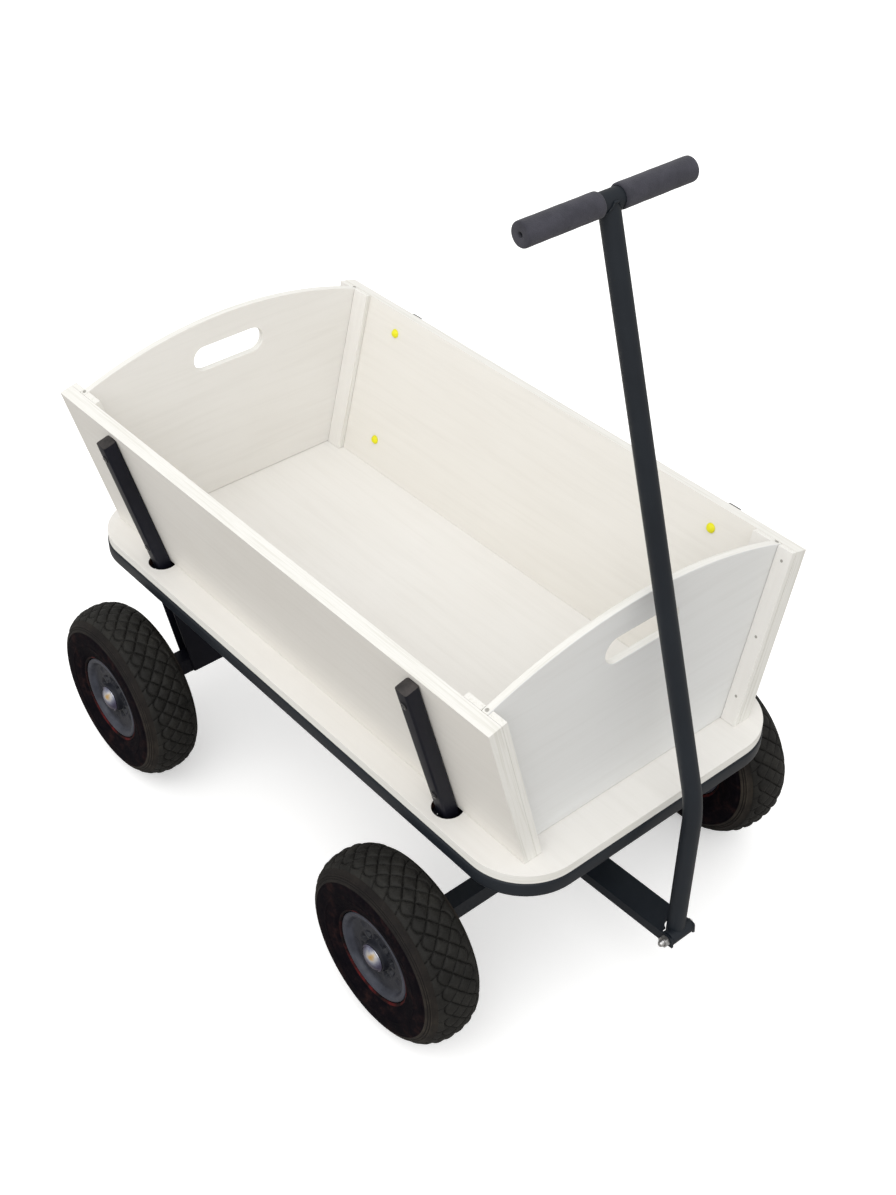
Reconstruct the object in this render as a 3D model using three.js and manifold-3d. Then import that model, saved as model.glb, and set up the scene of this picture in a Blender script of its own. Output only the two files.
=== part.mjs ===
// Four-wheeled garden pull cart: a steel-edged plywood deck on pneumatic wheels, with splayed
// side boards on posts that lift out of sockets, slotted end boards and a bent T-handle.
//
// Millimetres, +Z up, +X towards the pull handle, +Y to the cart's left.
// The origin is on the ground below the middle of the cart's overall box. The sizes below count X
// from the middle of the side boards, and the last section shifts the whole cart to its origin.

import * as THREE from "three";
import { mergeVertices } from "three/addons/utils/BufferGeometryUtils.js";
import Module from "manifold-3d";

const wasm = await Module();
wasm.setup();

// ---------------------------------------------------------------- driving dimensions

const GAP = 0.3; // clearance between pieces that touch
const MARGIN = 1; // how far a cutter passes the face that it opens, or a shank enters its head

// wheels and axles
const WHEEL_RADIUS = 130;
const TYRE_HALF_WIDTH = 42.5;
const TYRE_BULGE_RADIUS = 92; // where the tyre is widest
const CROWN_ROUNDNESS = 2.3; // exponent of the crown's superellipse
const RIM_RADIUS = 62;
const RIM_HALF_WIDTH = 35;
const BOSS_RADIUS = 20;
const CAP_RADIUS = 19;
const CAP_HEIGHT = 7;
const SPINDLE_RADIUS = 10;
const TRACK_HALF = 273; // wheel's middle plane from the cart's middle plane
const REAR_AXLE_X = -304.5;
const FRONT_AXLE_X = 301;
const BEAM_SIZE = 25; // square axle tube
const BEAM_HALF_LENGTH = 228;
const PLATE = 3; // sheet steel of hangers, brackets and tongue

// deck and its frame
const DECK_TOP = 322;
const DECK_THICKNESS = 13;
const DECK_REAR_X = -459;
const DECK_FRONT_X = 465;
const DECK_HALF_WIDTH = 226.5;
const DECK_CORNER = 80;
const RIM_LIP = 1.5; // how far the frame tube stands out past the deck
const RIM_TUBE_WIDTH = 20;
const RIM_TUBE_HEIGHT = 21.7;
const POST_HOLE_RADIUS = 19.5;

// side boards, in their own leaning plane
const SIDE_FOOT_Y = 187.4; // outer face where it meets the deck
const SIDE_LEAN = THREE.MathUtils.degToRad(14.4);
const SIDE_HEIGHT = 240; // along the slope
const SIDE_THICKNESS = 18;
const SIDE_HALF_LENGTH = 431.5;
const BATTEN_THICKNESS = 8;
const INNER_BATTEN_WIDTH = 28;

// posts, sockets and bolts
const POST_FRONT_X = 308;
const POST_REAR_X = -304.5;
const POST_SIZE = 20;
const POST_CORNER = 3;
const POST_TOP = 231.5; // along the slope
const POST_BOTTOM = -57;
const SOCKET_SIZE = 25;
const SOCKET_BORE = 20.6;
const SOCKET_TOP = -14.6;
const SOCKET_BOTTOM = -62;
const BOLT_HEIGHTS = { low: 39, high: 208 };
const BOLT_RADIUS = 4;
const BOLT_HEAD_RADIUS = 5;
const BOLT_HEAD_HEIGHT = 1.5;
const BOLT_CAP_RADIUS = 6.5;
const BOLT_CAP_HEIGHT = 5;

// end boards
const PANEL_THICKNESS = 10;
const PANEL_INNER_X = 399;
const PANEL_GROOVE_PLAY = 0.4;
const PANEL_MIDDLE_TOP = 601; // height of the arch above the ground
const PANEL_EDGE_TOP = 559;
const SLOT_LENGTH = 115;
const SLOT_HEIGHT = 36;
const SLOT_Z = 543;

// steering
const KINGPIN_RADIUS = 8;
const KINGPIN_NUT_RADIUS = 12;
const KINGPIN_NUT_HEIGHT = 10;
const KINGPIN_TIP = 4; // thread showing below the nut
const TURNTABLE_RADIUS = 60;
const TURNTABLE_THICKNESS = 4;
const TURNTABLE_PLATE_HALF_X = 70;
const TURNTABLE_PLATE_HALF_Y = 65;
const BRACKET_TOP_HALF = 60;
const BRACKET_FOOT_HALF = 95;
const HANGER_TOP_HALF = 207;
const HANGER_FOOT_HALF = 176;

// tongue and handle
const TONGUE_HALF_WIDTH = 20.5;
const TONGUE_RISE = Math.atan(0.056); // slope up towards the pivot
const TONGUE_BELOW_PIVOT = 7.9;
const TONGUE_ABOVE_PIVOT = 6.9;
const TONGUE_CORNER = 4;
const WEB_SHORT_OF_PIVOT = 10.5;
const WEB_BAY_RADIUS = 12.1; // of the round bay in the web's end that the shaft swings through
const WEB_BAY_SHORT_OF_PIVOT = 6;
const PIVOT_X = 513;
const PIVOT_Z = 136;
const EAR_REACH = 9.5; // ear's end past the pivot
const PIVOT_BOLT_RADIUS = 4;
const PIVOT_HEAD_RADIUS = 6;
const PIVOT_HEAD_HEIGHT = 2.5;
const PIVOT_NUT_RADIUS = 7.5;
const PIVOT_NUT_HEIGHT = 6.5;
const PIVOT_BOLT_TIP = 5; // thread showing past the nut
const BUSHING_RADIUS = 10;
const SHAFT_RADIUS = 11.5;
const SHAFT_FOOT_X = 508.5;
const BEND_X = 511.3;
const BEND_Z = 352.6;
const BEND_REACH = 30; // straight length that the bend rounds off on each side
const CROSSBAR_X = 309.7;
const CROSSBAR_Z = 1023.4;
const CROSSBAR_RADIUS = 11;
const GRIP_RADIUS = 13.6;
const GRIP_END = 114;
const GRIP_INNER = 14;
const GRIP_CAP = 4;
const GRIP_VENT_RADIUS = 3;
const GRIP_EDGE = 1.5; // chamfer of its outer end

// ---------------------------------------------------------------- derived dimensions

const AXLE_Z = WHEEL_RADIUS;
const BEAM_BOTTOM = AXLE_Z - BEAM_SIZE / 2;
const DECK_BOTTOM = DECK_TOP - DECK_THICKNESS;
const RIM_TOP = DECK_BOTTOM - GAP;
const RIM_BOTTOM = RIM_TOP - RIM_TUBE_HEIGHT;
const RIM_HALF_Y = DECK_HALF_WIDTH + RIM_LIP;
const RIM_REAR_X = DECK_REAR_X - RIM_LIP;
const RIM_FRONT_X = DECK_FRONT_X + RIM_LIP;
const RIM_CORNER = DECK_CORNER + RIM_LIP;
const SIN_LEAN = Math.sin(SIDE_LEAN);
const COS_LEAN = Math.cos(SIDE_LEAN);
const TAN_LEAN = Math.tan(SIDE_LEAN);
const POST_MIDDLE_Y = GAP + POST_SIZE / 2; // from the board's outer face
const PANEL_OUTER_X = PANEL_INNER_X + PANEL_THICKNESS;

// ---------------------------------------------------------------- materials

const WHITE_WOOD = paint("white_wood", 0xe8e6e0, 0.62, 0);
const STEEL = paint("anthracite_steel", 0x25292e, 0.42, 0.35);
const FOAM = paint("foam_grip", 0x46484c, 0.95, 0);
const RUBBER = paint("tyre_rubber", 0x24221f, 0.88, 0);
const WHEEL_PLASTIC = paint("wheel_disc", 0x3f4854, 0.5, 0);
const YELLOW_CAP = paint("yellow_cap", 0xe6dc1e, 0.4, 0);
const BRIGHT_CAP = paint("bright_cap", 0xb9ab8c, 0.25, 1);
const ZINC = paint("zinc_bolt", 0xb8b9bb, 0.35, 1);

function paint(name, color, roughness, metalness) {
  return new THREE.MeshStandardMaterial({ name, color, roughness, metalness });
}

// ---------------------------------------------------------------- geometry helpers

function box(x0, x1, y0, y1, z0, z1) {
  const geometry = new THREE.BoxGeometry(x1 - x0, y1 - y0, z1 - z0);
  return geometry.translate((x0 + x1) / 2, (y0 + y1) / 2, (z0 + z1) / 2);
}

function outline(points) {
  return new THREE.Shape(points.map(([a, b]) => new THREE.Vector2(a, b)));
}

function extrude(shape, depth, curveSegments = 10) {
  return new THREE.ExtrudeGeometry(shape, { depth, bevelEnabled: false, curveSegments });
}

// A section drawn in (y, z), swept from x0 to x1.
function extrudeAlongX(shape, x0, x1) {
  const turn = new THREE.Matrix4().set(0, 0, 1, x0, 1, 0, 0, 0, 0, 1, 0, 0, 0, 0, 0, 1);
  return extrude(shape, x1 - x0).applyMatrix4(turn);
}

// A section drawn in (x, z), swept from y1 down to y0.
function extrudeAlongY(shape, y0, y1) {
  const turn = new THREE.Matrix4().set(1, 0, 0, 0, 0, 0, -1, y1, 0, 1, 0, 0, 0, 0, 0, 1);
  return extrude(shape, y1 - y0).applyMatrix4(turn);
}

function extrudeAlongZ(shape, z0, z1, curveSegments) {
  return extrude(shape, z1 - z0, curveSegments).translate(0, 0, z0);
}

function cylinderAlongY(radius, y0, y1, x, z, sides = 24) {
  const geometry = new THREE.CylinderGeometry(radius, radius, y1 - y0, sides);
  return geometry.translate(x, (y0 + y1) / 2, z);
}

function cylinderAlongZ(radius, z0, z1, x, y, sides = 24) {
  const geometry = new THREE.CylinderGeometry(radius, radius, z1 - z0, sides);
  return geometry.rotateX(Math.PI / 2).translate(x, y, (z0 + z1) / 2);
}

// A profile of [radius, y] points turned about the Y axis.
function lathe(profile, segments) {
  const points = profile.map(([radius, y]) => new THREE.Vector2(radius, y));
  return new THREE.LatheGeometry(points, segments);
}

function solid(geometry) {
  const bare = new THREE.BufferGeometry();
  bare.setAttribute("position", geometry.getAttribute("position").clone());
  const order = geometry.index ? Array.from(geometry.index.array) : null;
  if (order) bare.setIndex(order);
  const merged = mergeVertices(bare, 1e-3);
  const vertProperties = new Float32Array(merged.getAttribute("position").array);
  const triVerts = new Uint32Array(faces(merged));
  return new wasm.Manifold(new wasm.Mesh({ numProp: 3, vertProperties, triVerts }));
}

// The triangles that keep three different corners, turned so that the body faces outwards.
function faces(geometry) {
  const index = geometry.index.array;
  const kept = [];
  for (let i = 0; i < index.length; i += 3) {
    const [a, b, c] = [index[i], index[i + 1], index[i + 2]];
    if (a !== b && b !== c && c !== a) kept.push(a, b, c);
  }
  return signedVolume(geometry, kept) < 0 ? kept.reverse() : kept;
}

function signedVolume(geometry, index) {
  const position = geometry.getAttribute("position");
  const corner = (i) => new THREE.Vector3().fromBufferAttribute(position, i);
  let volume = 0;
  for (let i = 0; i < index.length; i += 3) {
    volume += corner(index[i]).dot(corner(index[i + 1]).cross(corner(index[i + 2])));
  }
  return volume;
}

function surface(body) {
  const mesh = body.getMesh();
  const geometry = new THREE.BufferGeometry();
  geometry.setAttribute("position", new THREE.BufferAttribute(mesh.vertProperties, 3));
  geometry.setIndex(new THREE.BufferAttribute(mesh.triVerts, 1));
  geometry.computeVertexNormals();
  return geometry;
}

function joined(...geometries) {
  return surface(geometries.map(solid).reduce((whole, next) => whole.add(next)));
}

function cut(geometry, ...cutters) {
  return surface(cutters.map(solid).reduce((left, tool) => left.subtract(tool), solid(geometry)));
}

function add(parent, name, geometry, material) {
  const mesh = new THREE.Mesh(surface(solid(geometry)), material);
  mesh.name = name;
  parent.add(mesh);
  return mesh;
}

// A rectangle with round corners between x0 and x1 and within +-halfY.
function roundedOutline(target, x0, x1, halfY, radius) {
  target.moveTo(x0 + radius, -halfY);
  target.lineTo(x1 - radius, -halfY);
  target.absarc(x1 - radius, -halfY + radius, radius, -Math.PI / 2, 0, false);
  target.lineTo(x1, halfY - radius);
  target.absarc(x1 - radius, halfY - radius, radius, 0, Math.PI / 2, false);
  target.lineTo(x0 + radius, halfY);
  target.absarc(x0 + radius, halfY - radius, radius, Math.PI / 2, Math.PI, false);
  target.lineTo(x0, -halfY + radius);
  target.absarc(x0 + radius, -halfY + radius, radius, Math.PI, 1.5 * Math.PI, false);
  return target;
}

function postX(end) {
  return end > 0 ? POST_FRONT_X : POST_REAR_X;
}

const SIDES = [
  ["left", 1],
  ["right", -1],
];
const ENDS = [
  ["front", 1],
  ["rear", -1],
];

// ---------------------------------------------------------------- deck and frame

// The point of a post's middle line at a height above the ground, as a distance from the middle.
function postMiddleAt(height) {
  const alongSlope = (height - DECK_TOP + POST_MIDDLE_Y * SIN_LEAN) / COS_LEAN;
  return SIDE_FOOT_Y + POST_MIDDLE_Y * COS_LEAN + alongSlope * SIN_LEAN;
}

function deckBoard() {
  const shape = roundedOutline(
    new THREE.Shape(), DECK_REAR_X, DECK_FRONT_X, DECK_HALF_WIDTH, DECK_CORNER);
  const holeY = postMiddleAt((DECK_TOP + DECK_BOTTOM) / 2);
  for (const x of [POST_REAR_X, POST_FRONT_X]) {
    for (const y of [-holeY, holeY]) {
      const hole = new THREE.Path();
      hole.absarc(x, y, POST_HOLE_RADIUS, 0, 2 * Math.PI, true);
      shape.holes.push(hole);
    }
  }
  return extrudeAlongZ(shape, DECK_BOTTOM, DECK_TOP, 12);
}

// One long side of the frame, between the corner bends.
function rail(side) {
  const [y0, y1] = [RIM_HALF_Y - RIM_TUBE_WIDTH, RIM_HALF_Y].map((y) => y * side);
  const x0 = RIM_REAR_X + RIM_CORNER + GAP;
  const x1 = RIM_FRONT_X - RIM_CORNER - GAP;
  return box(x0, x1, Math.min(y0, y1), Math.max(y0, y1), RIM_BOTTOM, RIM_TOP);
}

// One end of the frame with both corner bends, drawn for the front and turned for the rear.
function bow(end) {
  const reach = end > 0 ? RIM_FRONT_X : -RIM_REAR_X;
  const inner = RIM_CORNER - RIM_TUBE_WIDTH;
  const middleX = reach - RIM_CORNER;
  const middleY = RIM_HALF_Y - RIM_CORNER;
  const shape = new THREE.Shape();
  shape.moveTo(middleX, -RIM_HALF_Y);
  shape.absarc(middleX, -middleY, RIM_CORNER, -Math.PI / 2, 0, false);
  shape.lineTo(reach, middleY);
  shape.absarc(middleX, middleY, RIM_CORNER, 0, Math.PI / 2, false);
  shape.lineTo(middleX, RIM_HALF_Y - RIM_TUBE_WIDTH);
  shape.absarc(middleX, middleY, inner, Math.PI / 2, 0, true);
  shape.lineTo(reach - RIM_TUBE_WIDTH, -middleY);
  shape.absarc(middleX, -middleY, inner, 0, -Math.PI / 2, true);
  const geometry = extrudeAlongZ(shape, RIM_BOTTOM, RIM_TOP, 8);
  return end > 0 ? geometry : geometry.rotateZ(Math.PI);
}

// A tube across the frame between a pair of sockets.
function crossTube(end) {
  const socketFace = postMiddleAt(RIM_BOTTOM) - SOCKET_SIZE / 2 / COS_LEAN;
  const halfY = socketFace - GAP;
  const x = postX(end);
  const halfX = SOCKET_SIZE / 2;
  return box(x - halfX, x + halfX, -halfY, halfY, RIM_BOTTOM, RIM_TOP);
}

function trapezoid(topHalf, footHalf, bottom, top) {
  return outline([[-footHalf, bottom], [footHalf, bottom], [topHalf, top], [-topHalf, top]]);
}

// A sheet beside the rear axle beam, carrying it below the frame.
function hangerPlate(facing) {
  const near = REAR_AXLE_X + facing * (BEAM_SIZE / 2 + GAP);
  const far = near + facing * PLATE;
  const shape = trapezoid(HANGER_TOP_HALF, HANGER_FOOT_HALF, BEAM_BOTTOM, RIM_BOTTOM - GAP);
  return extrudeAlongX(shape, Math.min(near, far), Math.max(near, far));
}

// A square tube across the cart with a round spindle for the wheel at each end.
function axleBeam(x) {
  const half = BEAM_SIZE / 2;
  const spindleEnd = TRACK_HALF + RIM_HALF_WIDTH - 1;
  const tube = box(
    x - half, x + half, -BEAM_HALF_LENGTH, BEAM_HALF_LENGTH, AXLE_Z - half, AXLE_Z + half);
  return joined(tube, cylinderAlongY(SPINDLE_RADIUS, -spindleEnd, spindleEnd, x, AXLE_Z, 20));
}

function turntablePlate() {
  const top = RIM_BOTTOM - GAP;
  const [halfX, halfY] = [TURNTABLE_PLATE_HALF_X, TURNTABLE_PLATE_HALF_Y];
  return box(
    FRONT_AXLE_X - halfX, FRONT_AXLE_X + halfX, -halfY, halfY, top - TURNTABLE_THICKNESS, top);
}

const DISC_TOP = RIM_BOTTOM - GAP - TURNTABLE_THICKNESS - GAP;
const DISC_BOTTOM = DISC_TOP - TURNTABLE_THICKNESS;
const BRACKET_TOP = DISC_BOTTOM - GAP;

// The steering pivot: a stud below the frame's plate, with its nut under the bracket.
function kingpin() {
  const nutTop = BRACKET_TOP - PLATE - GAP;
  const nutBottom = nutTop - KINGPIN_NUT_HEIGHT;
  const stud = cylinderAlongZ(
    KINGPIN_RADIUS, nutBottom - KINGPIN_TIP, DISC_TOP, FRONT_AXLE_X, 0, 20);
  const nut = cylinderAlongZ(KINGPIN_NUT_RADIUS, nutBottom, nutTop, FRONT_AXLE_X, 0, 6);
  return joined(stud, nut);
}

function buildChassis(parent) {
  add(parent, "deck_board", deckBoard(), WHITE_WOOD);
  for (const [sideName, side] of SIDES) add(parent, `rail_${sideName}`, rail(side), STEEL);
  for (const [endName, end] of ENDS) {
    add(parent, `bow_${endName}`, bow(end), STEEL);
    add(parent, `cross_tube_${endName}`, crossTube(end), STEEL);
    add(parent, `rear_hanger_${endName}_plate`, hangerPlate(end), STEEL);
  }
  add(parent, "rear_axle_beam", axleBeam(REAR_AXLE_X), STEEL);
  add(parent, "turntable_plate", turntablePlate(), STEEL);
  add(parent, "kingpin", kingpin(), ZINC);
}

// ---------------------------------------------------------------- front axle and tongue

function turntableDisc() {
  const disc = cylinderAlongZ(TURNTABLE_RADIUS, DISC_BOTTOM, DISC_TOP, FRONT_AXLE_X, 0, 32);
  const bore = cylinderAlongZ(
    KINGPIN_RADIUS + GAP, DISC_BOTTOM - MARGIN, DISC_TOP + MARGIN, FRONT_AXLE_X, 0, 20);
  return cut(disc, bore);
}

// A folded sheet that straddles the beam and carries the turntable's disc.
function steeringBracket() {
  const inner = BEAM_SIZE / 2 + GAP;
  const outer = inner + PLATE;
  const shape = trapezoid(BRACKET_TOP_HALF, BRACKET_FOOT_HALF, BEAM_BOTTOM, BRACKET_TOP);
  const front = extrudeAlongX(shape, FRONT_AXLE_X + inner, FRONT_AXLE_X + outer);
  const rear = extrudeAlongX(shape, FRONT_AXLE_X - outer, FRONT_AXLE_X - inner);
  const top = box(
    FRONT_AXLE_X - outer, FRONT_AXLE_X + outer, -BRACKET_TOP_HALF, BRACKET_TOP_HALF,
    BRACKET_TOP - PLATE, BRACKET_TOP);
  const bore = cylinderAlongZ(
    KINGPIN_RADIUS + GAP, BRACKET_TOP - PLATE - MARGIN, BRACKET_TOP + MARGIN,
    FRONT_AXLE_X, 0, 20);
  return cut(joined(front, rear, top), bore);
}

// An inverted channel whose flanges run on as two ears for the handle's pivot. It is drawn with
// the pivot at the origin and then tipped up.
function tongue() {
  const bracketFace = FRONT_AXLE_X + BEAM_SIZE / 2 + PLATE + 2 * GAP;
  const length = (PIVOT_X - bracketFace) / Math.cos(TONGUE_RISE);
  const start = TONGUE_ABOVE_PIVOT * Math.tan(TONGUE_RISE) - length;
  const [bottom, top] = [-TONGUE_BELOW_PIVOT, TONGUE_ABOVE_PIVOT];
  const cornerX = EAR_REACH - TONGUE_CORNER;
  const ear = new THREE.Shape();
  ear.moveTo(start, bottom);
  ear.lineTo(EAR_REACH, bottom);
  ear.absarc(cornerX, top - TONGUE_CORNER, TONGUE_CORNER, 0, Math.PI / 2, false);
  ear.lineTo(start, top);
  const outer = TONGUE_HALF_WIDTH;
  const channel = joined(
    extrudeAlongY(ear, outer - PLATE, outer),
    extrudeAlongY(ear, -outer, PLATE - outer),
    box(start, -WEB_SHORT_OF_PIVOT, -outer, outer, top - PLATE, top));
  const pivotHole = cylinderAlongY(
    PIVOT_BOLT_RADIUS + GAP, -outer - MARGIN, outer + MARGIN, 0, 0, 20);
  const bay = cylinderAlongZ(
    WEB_BAY_RADIUS, bottom, top + MARGIN, -WEB_BAY_SHORT_OF_PIVOT, 0, 48);
  return cut(channel, pivotHole, bay).rotateY(-TONGUE_RISE).translate(PIVOT_X, 0, PIVOT_Z);
}

// A low-headed bolt across the tongue's ears, with a hexagon nut on the right.
function pivotBolt() {
  const seat = TONGUE_HALF_WIDTH + GAP;
  const nutEnd = -seat - PIVOT_NUT_HEIGHT;
  const headEnd = seat + PIVOT_HEAD_HEIGHT;
  return joined(
    cylinderAlongY(
      PIVOT_BOLT_RADIUS, nutEnd - PIVOT_BOLT_TIP, seat + MARGIN, PIVOT_X, PIVOT_Z, 16),
    cylinderAlongY(PIVOT_HEAD_RADIUS, seat, headEnd, PIVOT_X, PIVOT_Z, 16),
    cylinderAlongY(PIVOT_NUT_RADIUS, nutEnd, -seat, PIVOT_X, PIVOT_Z, 6));
}

function buildFrontAxle(parent) {
  add(parent, "front_axle_beam", axleBeam(FRONT_AXLE_X), STEEL);
  add(parent, "steering_bracket", steeringBracket(), STEEL);
  add(parent, "turntable_disc", turntableDisc(), STEEL);
  add(parent, "tongue", tongue(), STEEL);
  add(parent, "pivot_bolt", pivotBolt(), ZINC);
}

// ---------------------------------------------------------------- handle

// A round tube up from the pivot, bent back over the deck, with a crossbar and a pivot bushing.
function handleFrame() {
  const foot = new THREE.Vector3(SHAFT_FOOT_X, 0, PIVOT_Z - BUSHING_RADIUS / 2);
  const corner = new THREE.Vector3(BEND_X, 0, BEND_Z);
  const head = new THREE.Vector3(CROSSBAR_X, 0, CROSSBAR_Z);
  const towards = (goal) =>
    corner.clone().add(goal.clone().sub(corner).setLength(BEND_REACH));
  const path = new THREE.CurvePath();
  path.add(new THREE.LineCurve3(foot, towards(foot)));
  path.add(new THREE.QuadraticBezierCurve3(towards(foot), corner, towards(head)));
  path.add(new THREE.LineCurve3(towards(head), head));
  const section = new THREE.Shape();
  section.absarc(0, 0, SHAFT_RADIUS, 0, 2 * Math.PI, false);
  const shaft = new THREE.ExtrudeGeometry(section, {
    steps: 26, curveSegments: 9, extrudePath: path, bevelEnabled: false });
  const barEnd = GRIP_END - GRIP_CAP - GAP;
  const crossbar = cylinderAlongY(CROSSBAR_RADIUS, -barEnd, barEnd, CROSSBAR_X, CROSSBAR_Z, 20);
  const half = TONGUE_HALF_WIDTH - PLATE - GAP;
  const bushing = cylinderAlongY(BUSHING_RADIUS, -half, half, PIVOT_X, PIVOT_Z, 24);
  const bore = cylinderAlongY(
    PIVOT_BOLT_RADIUS + GAP, -half - MARGIN, half + MARGIN, PIVOT_X, PIVOT_Z, 20);
  return cut(joined(shaft, crossbar, bushing), bore);
}

// A foam sleeve with a closed outer end and a small vent hole in it.
function grip(side) {
  const inside = CROSSBAR_RADIUS + GAP;
  const profile = [
    [GRIP_VENT_RADIUS, GRIP_END - GRIP_CAP],
    [GRIP_VENT_RADIUS, GRIP_END],
    [GRIP_RADIUS - GRIP_EDGE, GRIP_END],
    [GRIP_RADIUS, GRIP_END - GRIP_EDGE],
    [GRIP_RADIUS, GRIP_INNER + 1],
    [GRIP_RADIUS - 1, GRIP_INNER],
    [inside, GRIP_INNER],
    [inside, GRIP_END - GRIP_CAP],
    [GRIP_VENT_RADIUS, GRIP_END - GRIP_CAP],
  ];
  const geometry = lathe(profile, 24);
  if (side < 0) geometry.rotateZ(Math.PI);
  return geometry.translate(CROSSBAR_X, 0, CROSSBAR_Z);
}

function buildHandle(parent) {
  add(parent, "handle_frame", handleFrame(), STEEL);
  for (const [sideName, side] of SIDES) {
    add(parent, `grip_${sideName}`, grip(side), FOAM);
  }
}

// ---------------------------------------------------------------- wheels

// The crown is half a superellipse from bulge to bulge; the sidewalls run in to the beads.
function tyre() {
  const crownHeight = WHEEL_RADIUS - TYRE_BULGE_RADIUS;
  const crown = [];
  for (const share of [1, 0.96, 0.85, 0.68, 0.45, 0.18]) {
    const drop = 1 - (1 - share ** CROWN_ROUNDNESS) ** (1 / CROWN_ROUNDNESS);
    crown.push([WHEEL_RADIUS - crownHeight * drop, TYRE_HALF_WIDTH * share]);
  }
  const half = [
    [RIM_RADIUS + GAP, RIM_HALF_WIDTH - 5],
    [RIM_RADIUS + 3, RIM_HALF_WIDTH + 1.5],
    [RIM_RADIUS + 15, TYRE_HALF_WIDTH - 2],
    ...crown,
    [WHEEL_RADIUS, 4],
  ];
  const mirrored = half.map(([radius, y]) => [radius, -y]).reverse();
  return lathe([...half, ...mirrored, half[0]], 40);
}

// A moulded disc: an outer barrel, a dished web and a hub boss bored for the spindle.
function wheelDisc() {
  const w = RIM_HALF_WIDTH;
  const bore = SPINDLE_RADIUS + GAP;
  const profile = [
    [bore, w],
    [BOSS_RADIUS, w],
    [BOSS_RADIUS + 2, w - 10],
    [RIM_RADIUS - 11, w - 12],
    [RIM_RADIUS - 6, w - 2],
    [RIM_RADIUS - 3, w],
    [RIM_RADIUS, w - 0.5],
    [RIM_RADIUS - 3, w - 6],
    [RIM_RADIUS - 3, -w + 6],
    [RIM_RADIUS, -w + 0.5],
    [RIM_RADIUS - 4, -w],
    [RIM_RADIUS - 8, w - 20],
    [BOSS_RADIUS + 4, w - 20],
    [BOSS_RADIUS, -w],
    [bore, -w],
    [bore, w],
  ];
  return lathe(profile, 32);
}

function hubCap() {
  const base = RIM_HALF_WIDTH + GAP;
  const profile = [
    [0, base],
    [CAP_RADIUS, base],
    [CAP_RADIUS, base + 1.5],
    [CAP_RADIUS * 0.8, base + CAP_HEIGHT * 0.7],
    [CAP_RADIUS * 0.45, base + CAP_HEIGHT * 0.94],
    [0, base + CAP_HEIGHT],
  ];
  return lathe(profile, 24);
}

// Each wheel is drawn with its outer face towards +Y and turned round for the right side.
function buildWheel(parent, place, x, side) {
  const wheel = new THREE.Group();
  wheel.position.set(x, side * TRACK_HALF, AXLE_Z);
  if (side < 0) wheel.rotation.z = Math.PI;
  parent.add(wheel);
  add(wheel, `tyre_${place}`, tyre(), RUBBER);
  add(wheel, `wheel_disc_${place}`, wheelDisc(), WHEEL_PLASTIC);
  add(wheel, `hub_cap_${place}`, hubCap(), BRIGHT_CAP);
}

function buildWheels(parent) {
  for (const [sideName, side] of SIDES) {
    buildWheel(parent, `front_${sideName}`, FRONT_AXLE_X, side);
    buildWheel(parent, `rear_${sideName}`, REAR_AXLE_X, side);
  }
}

// ---------------------------------------------------------------- side boards

// In a side's own group +Y is outwards, square to the board, and +Z is up its slope.
// The group's origin is the board's outer bottom edge on the deck's top.
function levelFoot(y) {
  return (GAP + y * SIN_LEAN) / COS_LEAN;
}

function boltCutters(ends, y0, y1) {
  const cutters = [];
  for (const end of ends) {
    for (const height of Object.values(BOLT_HEIGHTS)) {
      cutters.push(cylinderAlongY(BOLT_RADIUS + GAP, y0, y1, postX(end), height, 16));
    }
  }
  return cutters;
}

function sideBoard() {
  const inner = -SIDE_THICKNESS;
  const shape = outline([
    [inner, levelFoot(inner)], [0, levelFoot(0)], [0, SIDE_HEIGHT], [inner, SIDE_HEIGHT]]);
  const board = extrudeAlongX(shape, -SIDE_HALF_LENGTH, SIDE_HALF_LENGTH);
  return cut(board, ...boltCutters([1, -1], inner - MARGIN, MARGIN));
}

function post(end) {
  const half = POST_SIZE / 2;
  const section = roundedOutline(new THREE.Shape(), -half, half, half, POST_CORNER);
  const tube = extrudeAlongZ(section, POST_BOTTOM, POST_TOP, 3);
  tube.translate(postX(end), POST_MIDDLE_Y, 0);
  return cut(tube, ...boltCutters([end], -MARGIN, POST_SIZE + GAP + MARGIN));
}

// An upright strip glued inside the board, beside the end board's groove.
function batten(end, isInner) {
  const groove = PANEL_GROOVE_PLAY;
  const [x0, x1] = isInner
    ? [PANEL_INNER_X - groove - INNER_BATTEN_WIDTH, PANEL_INNER_X - groove]
    : [PANEL_OUTER_X + groove, SIDE_HALF_LENGTH];
  const outer = -SIDE_THICKNESS - GAP;
  const inner = outer - BATTEN_THICKNESS;
  const shape = outline([
    [inner, levelFoot(inner)], [outer, levelFoot(outer)],
    [outer, SIDE_HEIGHT], [inner, SIDE_HEIGHT]]);
  return end > 0 ? extrudeAlongX(shape, x0, x1) : extrudeAlongX(shape, -x1, -x0);
}

// A bolt through post and board, with a domed cap on its inner end.
function boardBolt(end, height) {
  const x = postX(end);
  const headSeat = POST_SIZE + 2 * GAP;
  const capSeat = -SIDE_THICKNESS - GAP;
  const shank = cylinderAlongY(
    BOLT_RADIUS, capSeat - MARGIN, headSeat + MARGIN, x, height, 12);
  const head = cylinderAlongY(
    BOLT_HEAD_RADIUS, headSeat, headSeat + BOLT_HEAD_HEIGHT, x, height, 16);
  const dome = lathe([
    [0, 0],
    [BOLT_CAP_RADIUS, 0],
    [BOLT_CAP_RADIUS, -0.35 * BOLT_CAP_HEIGHT],
    [0.7 * BOLT_CAP_RADIUS, -0.85 * BOLT_CAP_HEIGHT],
    [0, -BOLT_CAP_HEIGHT],
  ], 16).translate(x, capSeat, height);
  return joined(shank, head, dome);
}

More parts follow.
